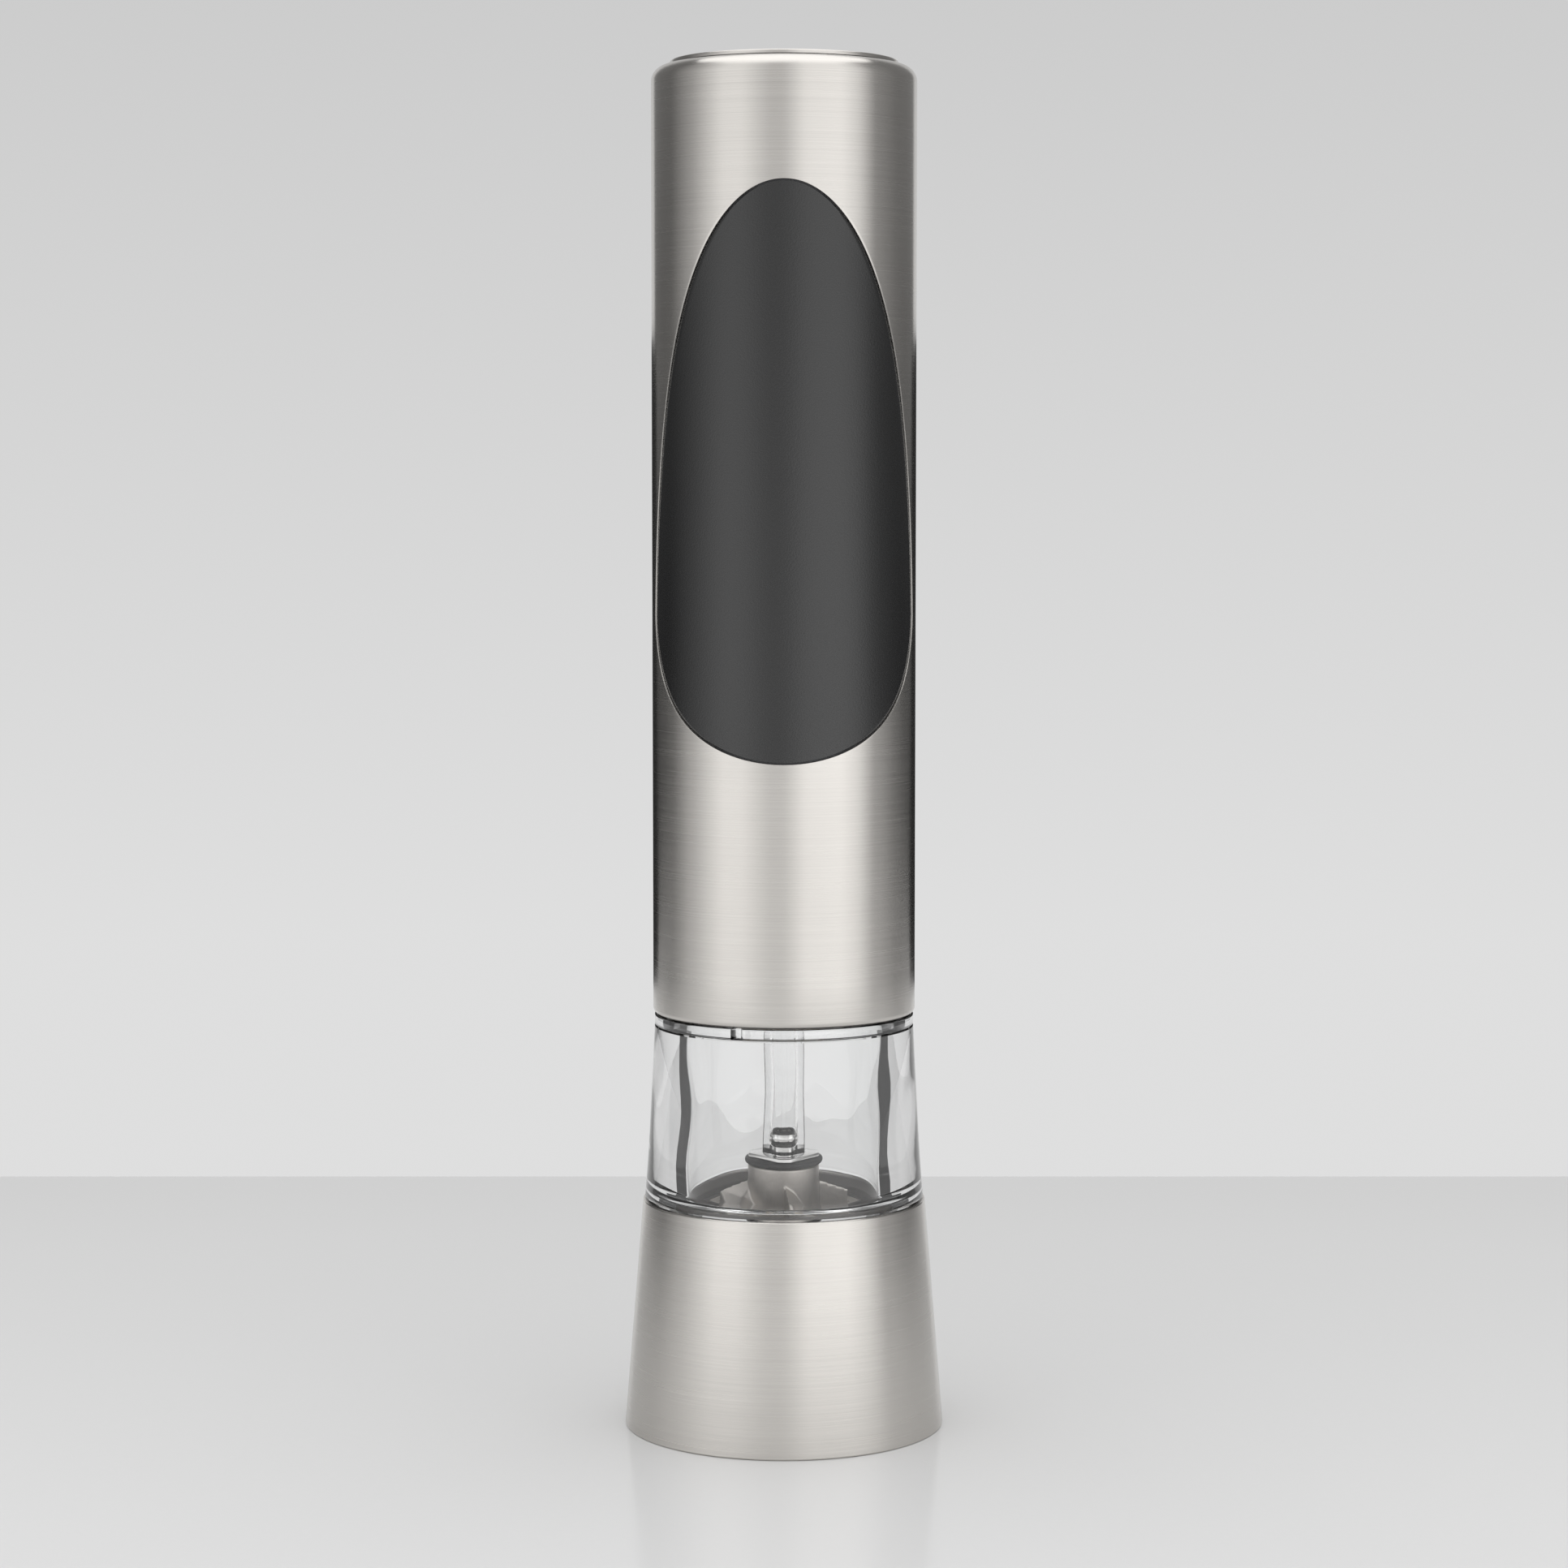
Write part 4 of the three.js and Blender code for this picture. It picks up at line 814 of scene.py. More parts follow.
@dataclass
class Chamber(Assembly):
    """The clear pepper chamber and the bayonet collar on its neck."""

    spigot_radius: float = 21.0
    foot_radius: float = 22.15
    foot: float = 36.45
    shoulder_radius: float = 20.5
    shoulder: float = 64.2
    neck_radius: float = 17.4
    bore: float = 15.3
    lower_bore: float = 17.2
    flare_top: float = 37.3
    flare_foot: float = 36.8
    lug: float = 1.1
    lug_height: float = 0.8
    lug_arc: float = 26.0
    lug_angles: tuple = (30.0, 150.0, 270.0)
    tongue_angles: tuple = (90.0, 210.0, 330.0)
    tongue_arc: float = 30.0
    lug_edge: float = 1.2
    taper: float = 0.82
    chamfer: float = 0.2
    neck_chamfer: float = 0.3
    foot_chamfer: float = 0.35
    foot_draw: float = 0.02
    shoulder_drop: float = 0.22
    outside_rows: int = 30
    bore_rows: int = 14
    bore_start: float = 1.5
    bore_end: float = 0.8
    flare_rows: int = 22
    ripple: float = 0.05
    ripple_waves: tuple = ((5, 0.25, 1.0), (9, -0.4, 0.6))
    ripple_fade: tuple = (6.0, 4.0)
    ripple_clear: float = 0.5
    neck_play: float = 0.1
    band_height: float = 1.7
    band_fillet: float = 0.2
    band_edge: float = 0.3
    ring_top: float = 66.9
    collar_sleeve: float = 18.6
    tongue_edge: float = 1.0
    pip_angle: float = -111.0
    pip_width: float = 3.6
    pip_depth: float = 1.3
    pip_edge: float = 1.2

    def build(self) -> None:
        """Makes both pieces."""
        self.body()
        self.collar()

    def body(self) -> None:
        """The thick clear wall.

        The bore carries the slow ripples that moulding leaves: sines of the angle that slant
        with height. They fade towards the flare and the neck's rim. Each lug is a sector of
        the neck's rim that stands out.
        """
        size = Envelope.of("chamber")
        lug_foot = size.top - self.lug_height
        profile = np.concatenate([
            self.outside(), self.neck(size.top, lug_foot), self.inside(size.top),
            self.spigot(size.bottom),
        ])
        angle = angles(RIBBED_COLUMNS)
        radius, height = profile[:, :1], profile[:, 1:]
        lugs = sum(window(angle, middle, self.lug_arc, self.lug_edge) for middle in self.lug_angles)
        on_lug = (height >= lug_foot) & (radius >= self.neck_radius - self.neck_chamfer)
        inner = (radius < self.neck_radius - self.ripple_clear) & (height > self.flare_foot)
        low_fade, high_fade = self.ripple_fade
        fade = np.clip((height - self.flare_foot) / low_fade, 0, 1)
        fade = fade * np.clip((size.top - height) / high_fade, 0, 1)
        wave = sum(
            share * np.sin(count * np.radians(angle) + slant * height)
            for count, slant, share in self.ripple_waves
        )
        change = on_lug * self.lug * lugs + inner * fade * self.ripple * wave
        self.cover("clear_chamber", "chamber", swollen(turned(profile, RIBBED_COLUMNS), change))

    def outside(self) -> Array:
        """The outside from the foot up to the shoulder, with both edges eased.

        From the shoulder to the foot the radius grows by taper * s + (1 - taper) * s^4 of the
        whole difference, where s is the share of the height down.
        """
        share = np.linspace(1, 0, self.outside_rows)
        curve = self.taper * share + (1 - self.taper) * share**4
        points = np.column_stack([
            self.shoulder_radius + (self.foot_radius - self.shoulder_radius) * curve,
            self.shoulder - (self.shoulder - self.foot) * share,
        ])
        points[0, 0] -= self.foot_chamfer
        points[-1, 0] -= self.chamfer
        low = (self.foot_radius - self.foot_draw, self.foot + self.foot_chamfer)
        high = (self.shoulder_radius, self.shoulder - self.shoulder_drop)
        return np.concatenate([points[:1], [low], points[1:-1], [high], points[-1:]])

    def neck(self, top: float, lug_foot: float) -> Array:
        """The neck's outside and its rim, whose edges are chamfered."""
        radius, chamfer = self.neck_radius, self.neck_chamfer
        return np.array([
            (radius, self.shoulder), (radius, lug_foot - 0.01), (radius, lug_foot),
            (radius, top), (radius - chamfer, top), (self.bore + chamfer, top),
            (self.bore, top - chamfer),
        ])

    def inside(self, top: float) -> Array:
        """The straight bore, and the flare that widens it to the cup as a smooth step."""
        start, end = top - self.bore_start, self.flare_top + self.bore_end
        straight = np.linspace(start, end, self.bore_rows)
        down = np.linspace(0, 1, self.flare_rows)
        flare = np.column_stack([
            self.bore + (self.lower_bore - self.bore) * down**2 * (3 - 2 * down),
            self.flare_top + (self.flare_foot - self.flare_top) * down,
        ])
        return np.concatenate([np.column_stack([np.full(len(straight), self.bore), straight]), flare])

    def spigot(self, bottom: float) -> Array:
        """The thin foot that plugs into the base, with chamfered edges."""
        ease = self.chamfer
        return np.array([
            (self.lower_bore, bottom + ease), (self.lower_bore + ease, bottom),
            (self.spigot_radius - ease, bottom), (self.spigot_radius, bottom + ease),
            (self.spigot_radius, self.foot),
        ])

    def collar(self) -> None:
        """The clear collar: a stepped ring whose inner edge rises in three tongues."""
        size = Envelope.of("bayonet_collar")
        inner = self.neck_radius + self.neck_play
        band_top = size.bottom + self.band_height
        profile = rounded([
            (inner, size.bottom, 0.1), (size.radius, size.bottom, self.band_fillet),
            (size.radius, band_top, self.band_fillet), (self.collar_sleeve, band_top, 0.1),
            (self.collar_sleeve, self.ring_top, 0.15), (inner, self.ring_top, 0.15),
        ])
        radius, height = profile[:, :1], profile[:, 1:]
        angle = angles(RIBBED_COLUMNS)
        grid = turned(profile, RIBBED_COLUMNS)
        tongues = sum(window(angle, c, self.tongue_arc, self.tongue_edge) for c in self.tongue_angles)
        lifted = height > self.ring_top - self.band_fillet
        grid[..., 2] += lifted * tongues * (size.top - self.ring_top)
        pip = window(angle, self.pip_angle, self.pip_width, self.pip_edge)
        edge = (radius > size.radius - self.band_edge) & (height < band_top + self.band_fillet / 2)
        self.cover("clear_collar", "bayonet_collar", swollen(grid, edge * pip * -self.pip_depth))


# ---------------------------------------------------------------------------
# Grinder and shaft
# ---------------------------------------------------------------------------
@dataclass
class Grinder(Assembly):
    """The two burrs, the feed rotor and the square drive shaft that turns them."""

    mouth: float = 12.3
    throat: float = 11.2
    teeth: int = 24
    tooth: float = 0.45
    stator_twist: float = 1.2
    stator_rows: int = 14
    rotor_rows: int = 18
    rotor_head: float = 6.4
    rotor_rim: float = 1.4
    rotor_chamfer: float = 0.2
    bolt_hole: float = 1.52
    hub_radius: float = 5.7
    hub_top: float = 41.6
    shaft_foot: float = 38.7
    socket: float = 3.34
    stud_bore: float = 0.94
    bolt_top: float = 35.2
    vane_reach: float = 10.4
    vane_rake: float = 4.0
    vane_spread: float = 42.0
    vane_heights: tuple = (5.4, 3.35, 0.5, 1.2)
    vane_count: int = 4
    vane_root: float = 1.2
    vane_rise: float = 0.12
    foot_play: float = 0.06
    voxel: float = 0.16
    smoothing: int = 4
    seal_bore: float = 3.3
    shaft_width: float = 5.0
    shaft_corner: float = 0.8
    shaft_ease: float = 0.15
    shaft_draw: float = 0.96
    disc_edge: float = 0.12
    hole_play: float = 0.06
    stud_neck: float = 0.9
    ball_radius: float = 1.7
    pocket_play: float = -0.03

    def build(self) -> None:
        """Makes the shown pieces and dresses the hidden ones."""
        self.stator()
        self.rotor()
        self.feed()
        self.seal()
        self.disc()
        self.stud()
        self.shaft()
        self.dress(0.15, "stator_carrier")
        self.dress(0.1, "rotor_bolt")
        self.dress(0.05, "rotor_washer")

    def saw(self, angle: Array, height: Array, span: float, twist: float) -> Array:
        """Tooth depth from nought to one: a rounded saw in the angle, slanting with height."""
        phase = (self.teeth * angle / 360 + twist * height / span) % 1
        return phase * (1 - phase**6)

    def stator(self) -> None:
        """The outer burr: a ring whose cone carries slanting teeth, deepest at the throat."""
        size = Envelope.of("stator_burr")
        tall = size.top - size.bottom
        corners = rounded([
            (self.throat, size.bottom, 0.0), (size.radius, size.bottom, 0.3),
            (size.radius, size.top, 0.35), (self.mouth, size.top, 0.0),
        ])
        share = np.linspace(0, 1, self.stator_rows + 2)[1:-1]
        cone = np.column_stack([
            self.mouth + (self.throat - self.mouth) * share, size.top - tall * share
        ])
        profile = np.concatenate([corners, cone])
        away = profile - ((size.radius + self.mouth) / 2, (size.bottom + size.top) / 2)
        profile = profile[np.argsort(np.arctan2(away[:, 1], away[:, 0]))]
        radius, height = profile[:, :1], profile[:, 1:]
        saw = self.saw(angles(TOOTHED_COLUMNS), height, tall, self.stator_twist)
        on_cone = radius <= self.mouth + 0.01
        depth = on_cone * self.tooth * (size.top - height) / tall * saw
        self.cover("stator", "stator_burr", swollen(turned(profile, TOOTHED_COLUMNS), -depth))

    def rotor(self) -> None:
        """The inner burr: a cone with slanting teeth round a bolt hole."""
        size = Envelope.of("rotor_burr")
        rim = size.bottom + self.rotor_rim
        chamfer = self.rotor_chamfer
        up = np.linspace(0, 1, self.rotor_rows)
        cone = np.column_stack([
            size.radius + (self.rotor_head - size.radius) * up, rim + (size.top - rim) * up
        ])
        foot = [
            (self.bolt_hole, size.bottom), (size.radius - chamfer, size.bottom),
            (size.radius, size.bottom + chamfer),
        ]
        profile = np.concatenate([foot, cone, [(self.bolt_hole, size.top)]])
        toothed = profile[:, :1] > self.hub_radius
        tall = size.top - size.bottom
        saw = self.saw(angles(TOOTHED_COLUMNS), profile[:, 1:], tall, -self.stator_twist)
        depth = toothed * self.tooth * saw
        self.cover("rotor", "rotor_burr", swollen(turned(profile, TOOTHED_COLUMNS), -depth))

    def vane(self, facing: float, foot: float) -> Array:
        """One feed vane as a grid of two rows of four corners: its foot and its top."""
        root = self.hub_radius - self.vane_root
        reach = np.array([root, self.vane_reach, self.vane_reach, root])
        lean = np.array([0, self.vane_rake, self.vane_spread, self.vane_spread])
        turn = np.radians(facing + lean)
        low = wrapped(reach, turn, foot)
        high = wrapped(reach, turn, foot + np.array(self.vane_heights))
        ends = [np.repeat(row.mean(axis=0)[None], 4, axis=0) for row in (low, high)]
        return np.stack([ends[0], low, high, ends[1]])

    def feed(self) -> None:
        """The cast feed rotor: hub and vanes run together by a voxel skin, then eased."""
        size = Envelope.of("feed_rotor")
        floor = self.shaft_foot - self.foot_play
        hub = rounded([
            (self.bolt_hole, size.bottom, 0.0), (self.hub_radius, size.bottom, 0.2),
            (self.hub_radius, self.hub_top, 0.35), (self.socket, self.hub_top, 0.1),
            (self.socket, floor, 0.0), (self.stud_bore, floor, 0.0),
            (self.stud_bore, self.bolt_top, 0.0), (self.bolt_hole, self.bolt_top, 0.0),
        ])
        made = skin("feeder", turned(hub, SMALL_COLUMNS), rows_meet=True)
        step = 360 / self.vane_count
        for number in range(self.vane_count):
            vane = self.vane(FRONT + step * number, size.bottom + self.vane_rise)
            blade = skin(f"blade_{number}", vane)
            modified(made, "BOOLEAN", operation="UNION", solver="EXACT", object=blade)
            settle(made)
            bpy.data.objects.remove(blade)
        modified(made, "REMESH", mode="VOXEL", voxel_size=self.voxel * MM)
        modified(made, "SMOOTH", factor=0.5, iterations=self.smoothing)
        self.paint.stand(settle(made), "feed_rotor")

    def seal(self) -> None:
        """The rubber ring under the disc, its rim a half round."""
        size = Envelope.of("hub_seal_ring")
        profile = rounded([
            (self.seal_bore, size.bottom, 0.1), (size.radius, size.bottom, 0.42),
            (size.radius, size.top, 0.42), (self.seal_bore, size.top, 0.1),
        ], 8)
        self.cover("hub_seal", "hub_seal_ring", turned(profile, SMALL_COLUMNS))

    def square(self, play: float) -> Array:
        """The shaft's outline, turned so that a corner faces the front, grown by a play."""
        return rounded_square(self.shaft_width + 2 * play, self.shaft_corner + play)

    def disc(self) -> None:
        """The polished disc: rings of a circle with eased edges, lofted to the square hole."""
        size = Envelope.of("hub_cap_disc")
        hole = self.square(self.hole_play)
        edge = self.disc_edge
        rings = [
            (hole, size.bottom), (round_like(hole, size.radius - edge), size.bottom),
            (round_like(hole, size.radius), size.bottom + edge),
            (round_like(hole, size.radius), size.top - edge),
            (round_like(hole, size.radius - edge / 2), size.top - edge / 4),
            (round_like(hole, size.radius - edge), size.top), (hole, size.top),
        ]
        self.cover("hub_disc", "hub_cap_disc", lofted(rings))

    def ball(self, neck: float, radius: float, foot: float, centre: float) -> Array:
        """Profile of a stud: a straight neck and a ball, as an arc from the neck to the pole."""
        start = np.degrees(np.arcsin(neck / radius)) - 90
        return np.concatenate([[(neck, foot)], arc((0, centre), radius, start, 90, 20)])

    def stud(self) -> None:
        """The ball-headed stud."""
        size = Envelope.of("ball_stud")
        profile = self.ball(self.stud_neck, self.ball_radius, size.bottom, size.top - self.ball_radius)
        profile = np.concatenate([[(0, size.bottom)], profile])
        self.paint.stand(skin("stud", turned(profile, SMALL_COLUMNS)), "ball_stud")

    def shaft(self) -> None:
        """The clear square shaft: lofted from its top to its foot and up round the ball's pocket."""
        size = Envelope.of("drive_shaft")
        ball_centre = Envelope.of("ball_stud").top - self.ball_radius
        outline = self.square(0.0)
        small, ease = outline * self.shaft_draw, self.shaft_ease
        outside = [
            (outline * 0, size.top), (small, size.top), (outline, size.top - ease),
            (outline, size.bottom + ease), (small, size.bottom),
        ]
        pocket = self.ball(
            self.stud_neck + self.pocket_play, self.ball_radius + self.pocket_play,
            size.bottom, ball_centre,
        )
        inside = [(round_like(outline, max(radius, 1e-12)), z) for radius, z in pocket]
        self.paint.stand(skin("clear_shaft", lofted(outside + inside)), "drive_shaft")


# ---------------------------------------------------------------------------
# Motor unit
# ---------------------------------------------------------------------------
@dataclass
class MotorUnit(Assembly):
    """The motor unit: housing and batteries anew, and the rest as the CAD has it."""

    housing_bore: float = 14.5
    floor_hole: float = 7.1
    floor: float = 0.95
    low_groove: float = 22.0
    high_groove: float = 8.0
    groove: float = 0.35
    groove_mouth: float = 1.0
    groove_floor: float = 0.7
    cell_radius: float = 7.1
    nub_radius: float = 2.7
    nub: float = 1.4
    can_foot: tuple = ((-1.2, 0.0), (-0.9, 0.25), (-0.3, 0.25), (0.0, 0.6))
    can_head: tuple = ((0.0, -0.8), (-0.35, -0.25), (-1.3, 0.0))
    nub_foot: tuple = ((0.3, -0.3), (0.0, 0.0))
    nub_head: tuple = ((0.0, -0.35), (-0.35, 0.0))
    upright: tuple = (True, False, True, False)
    bevelled: tuple = (
        "unit_plate", "gearbox_cover", "motor_end_cap", "battery_holder", "switch_body",
        "output_carrier", "upper_carrier",
    )
    plain: tuple = (
        "neck_seal", "output_bush", "ring_gear", "motor_can", "motor_shaft", "motor_pinion",
        "lower_contact_front", "lower_contact_rear", "upper_contact_left", "upper_contact_right",
        "switch_plunger", "unit_screw_1", "unit_screw_2", "unit_screw_3",
        "lower_planet_1", "lower_planet_2", "lower_planet_3",
        "upper_planet_1", "upper_planet_2", "upper_planet_3",
    )

    def build(self) -> None:
        """Makes the housing and the cells, and dresses the rest."""
        self.housing()
        for number, upright in enumerate(self.upright, 1):
            self.cell(f"battery_{number}", upright)
        self.dress(0.2, *self.bevelled)
        self.dress(0.0, *self.plain)

    def housing(self) -> None:
        """The round housing: a cup with two shallow grooves round it."""
        size = Envelope.of("drive_housing")
        radius, low, high = size.radius, size.bottom, size.top
        deep, mouth, bed = radius - self.groove, self.groove_mouth, self.groove_floor
        grooves = [
            corner
            for middle in (low + self.low_groove, high - self.high_groove)
            for corner in (
                (radius, middle - mouth, 0.15), (deep, middle - bed, 0.1),
                (deep, middle + bed, 0.1), (radius, middle + mouth, 0.15),
            )
        ]
        profile = rounded([
            (self.floor_hole, low, 0.2), (radius, low, 0.6), *grooves, (radius, high, 0.5),
            (self.housing_bore, high, 0.3), (self.housing_bore, low + self.floor, 0.2),
            (self.floor_hole, low + self.floor, 0.2),
        ])
        self.cover("housing", "drive_housing", turned(profile))

    def cell(self, node: str, upright: bool) -> None:
        """One battery: a can with crimped shoulders and a nub, turned about its own axis.

        Its outline is a run of steps of radius and height from four corners: the can's foot
        and shoulder, and the nub's root and top.
        """
        low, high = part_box(node)
        centre = (low + high) / 2 / MM
        length = (high.z - low.z) / MM
        shoulder = length - self.nub
        half = np.concatenate([
            [(0, 0)], np.add(self.can_foot, (self.cell_radius, 0)),
            np.add(self.can_head, (self.cell_radius, shoulder)),
            np.add(self.nub_foot, (self.nub_radius, shoulder)),
            np.add(self.nub_head, (self.nub_radius, length)), [(0, length)],
        ])
        if not upright:
            half[:, 1] = length - half[:, 1]
        grid = turned(half, SMALL_COLUMNS) + np.array([centre.x, centre.y, low.z / MM])
        self.paint.stand(skin(f"cell_{node[-1]}", grid), node)


# ---------------------------------------------------------------------------
# Sleeve and button
# ---------------------------------------------------------------------------
@dataclass
class Sleeve(Assembly):
    """The steel sleeve with its two rubber grips."""

    wall: float = 0.6
    rim_round: float = 2.4
    hem_round: float = 1.0
    rim_bore: float = 18.2
    hem_steps: int = 6
    rim_steps: int = 10
    hem_rows: int = 8
    rim_rows: int = 5
    widest: float = 62.5
    above: float = 66.6
    below: float = 21.4
    half_angle: float = 74.5
    power: float = 1.6
    gap: float = 0.3
    rows: int = 90
    tip_rows: tuple = (0.12, 0.3, 0.7)
    grip_columns: int = 64
    grip_inlay: float = 0.05
    grip_inner: float = 20.2
    grip_edge: float = 0.22
    grip_fall: float = 0.6
    edge: float = 0.14
    edge_angle: float = 60.0

    def build(self) -> None:
        """Makes the tube and the grips, and dresses the rest."""
        self.tube()
        self.grip("front_grip", FRONT)
        self.grip("rear_grip", REAR)
        self.dress(0.0, "sleeve_liner")
        self.dress(0.15, "button_guide")

    def heights(self, margin: float) -> Array:
        """Heights of the grip's rows: closer together towards both ends, as a cosine."""
        low = Envelope.of("steel_tube").bottom + self.widest - self.below - margin
        high = low + self.below + self.above + 2 * margin
        return low + (high - low) * (1 - np.cos(np.linspace(0, np.pi, self.rows + 1))) / 2

    def spread(self, height: Array, margin: float, radius: float) -> Array:
        """Half the grip's width as an angle: H sqrt(1 - t^1.6), t the share of the reach."""
        middle = Envelope.of("steel_tube").bottom + self.widest
        reach = np.where(height > middle, self.above + margin, self.below + margin)
        share = np.clip(np.abs(height - middle) / reach, 0, 1)
        wider = self.half_angle + np.degrees(margin / radius)
        return wider * np.sqrt(1 - share**self.power)

    def tube(self) -> None:
        """The steel tube.

        Rows climb from the hem over the wall to the rim. On each row the two side strips run
        from the front opening's edge to the rear one's, whose half angle is nought above and
        below the grips, so that the strips meet there.
        """
        size = Envelope.of("steel_tube")
        radius = size.radius
        low = (radius - self.hem_round, size.bottom + self.hem_round)
        high = (radius - self.rim_round, size.top - self.rim_round)
        hem = arc(low, self.hem_round, -90, 0, self.hem_steps)
        rim = arc(high, self.rim_round, 0, 90, self.rim_steps)
        grip_rows = self.heights(self.gap)
        near = np.array(self.tip_rows)
        foot, head = grip_rows[0] - near[::-1], grip_rows[-1] + near
        lower = np.append(np.linspace(hem[-1, 1], foot[0], self.hem_rows)[1:-1], foot)
        upper = np.append(head, np.linspace(head[-1], rim[0, 1], self.rim_rows)[1:-1])
        wall = np.concatenate([lower, grip_rows, upper])
        profile = np.concatenate([
            hem, np.column_stack([np.full(len(wall), radius), wall]), rim,
            [(self.rim_bore, size.top)],
        ])
        half = self.spread(profile[:, 1], self.gap, radius)
        half[(profile[:, 1] < grip_rows[0]) | (profile[:, 1] > grip_rows[-1])] = 0
        share = np.linspace(0, 1, COLUMNS // 2 + 1)
        strips = []
        for start in (FRONT, REAR):
            angle = np.radians(start + half[:, None] + (180 - 2 * half[:, None]) * share)
            strips.append(wrapped(profile[:, :1], angle, profile[:, 1:]))
        made = skin("tube", *strips, columns_meet=False)
        modified(made, "SOLIDIFY", thickness=self.wall * MM, offset=-1.0, use_even_offset=True)
        eased(made, self.edge, self.edge_angle)
        self.paint.stand(settle(made), "steel_tube")

    def grip(self, node: str, facing: float) -> None:
        """One rubber grip.

        On each row the section is a flat loop between two radii. Near both sides of the row
        its thickness falls off as a quarter circle, so that its edges are round. The loop
        closes to nothing at both ends.

        Args:
            node: The CAD node of the grip.
            facing: The direction that it faces, in degrees from +X.
        """
        outer = Envelope.of("steel_tube").radius - self.grip_inlay
        height = self.heights(0.0)
        half = self.spread(height, 0.0, outer)[:, None]
        half[[0, -1]] = 0
        front = np.linspace(-1, 1, self.grip_columns)
        loop = np.concatenate([front, front[::-1]])
        side = np.concatenate([np.ones(self.grip_columns), -np.ones(self.grip_columns)])
        width = np.radians(half) * outer
        inset = np.clip((1 - np.abs(loop)) * width / self.grip_edge, 0, 1)
        fall = 1 - np.sqrt(1 - (1 - inset) ** 2)
        middle, thick = (outer + self.grip_inner) / 2, (outer - self.grip_inner) / 2
        radius = middle + side * thick * (1 - self.grip_fall * fall)
        angle = np.radians(facing + half * loop)
        self.paint.stand(skin(f"{node}_pad", wrapped(radius, angle, height[:, None])), node)


@dataclass
class Button(Assembly):
    """The push button in the sleeve's top, with its spring."""

    edge: float = 0.25
    dish: float = 0.12
    dish_inset: float = 1.2
    dish_rows: int = 24
    coil_radius: float = 4.39
    coil_points: int = 300
    closed_share: float = 0.1
    wire: float = 0.35
    wire_points: int = 10
    turns: float = 4.0
    travel: float = 1.5

    def build(self) -> None:
        """Makes the cap and the spring, and dresses the core."""
        self.cap()
        self.spring()
        self.dress(0.15, "button_core")

    def cap(self) -> None:
        """The steel disc with an eased edge and a shallow dish, a cosine of the radius."""
        size = Envelope.of("button_cap")
        rim = arc((size.radius - self.edge, size.top - self.edge), self.edge, 0, 90, 5)
        across = np.linspace(size.radius - self.dish_inset, 0, self.dish_rows)
        dish = self.dish * (1 + np.cos(np.pi * across / across[0])) / 2
        face = np.column_stack([across, size.top - dish])
        profile = np.concatenate([[(0, size.bottom), (size.radius, size.bottom)], rim, face])
        self.paint.stand(skin("top_plate", turned(profile)), "button_cap")

    def spring(self) -> None:
        """The return spring: a round wire carried along a helix with closed ends."""
        size = Envelope.of("button_spring")
        share = np.linspace(0, 1, self.coil_points)
        rise = np.clip((share - self.closed_share) / (1 - 2 * self.closed_share), 0, 1)
        turn = 2 * np.pi * self.turns * share
        height = size.bottom + self.wire + (size.top - size.bottom - 2 * self.wire) * rise
        section = np.radians(angles(self.wire_points))
        reach = self.coil_radius + self.wire * np.cos(section)
        grid = wrapped(reach, turn[:, None], height[:, None] + self.wire * np.sin(section))
        ends = [
            np.repeat(row.mean(axis=1, keepdims=True), self.wire_points, axis=1)
            for row in (grid[:1], grid[-1:])
        ]
        closed = np.concatenate([ends[0], grid, ends[1]])
        made = self.paint.stand(skin("return_spring", closed), "button_spring")
        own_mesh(made)


# ---------------------------------------------------------------------------
# Studio
# ---------------------------------------------------------------------------
def grey(level: float) -> tuple[float, float, float, float]:
    """A grey of one level, opaque."""
    return (level, level, level, 1.0)


@dataclass(frozen=True)
class Flag:
    """A pair of small dark cards beside the mill, seen by gloss alone or through glass alone.

    Start and end are directions in degrees from the front; the other sizes are metres.
    """

    name: str
    start: float
    end: float
    low: float
    high: float
    distance: float
    glow: float
    glossy: bool


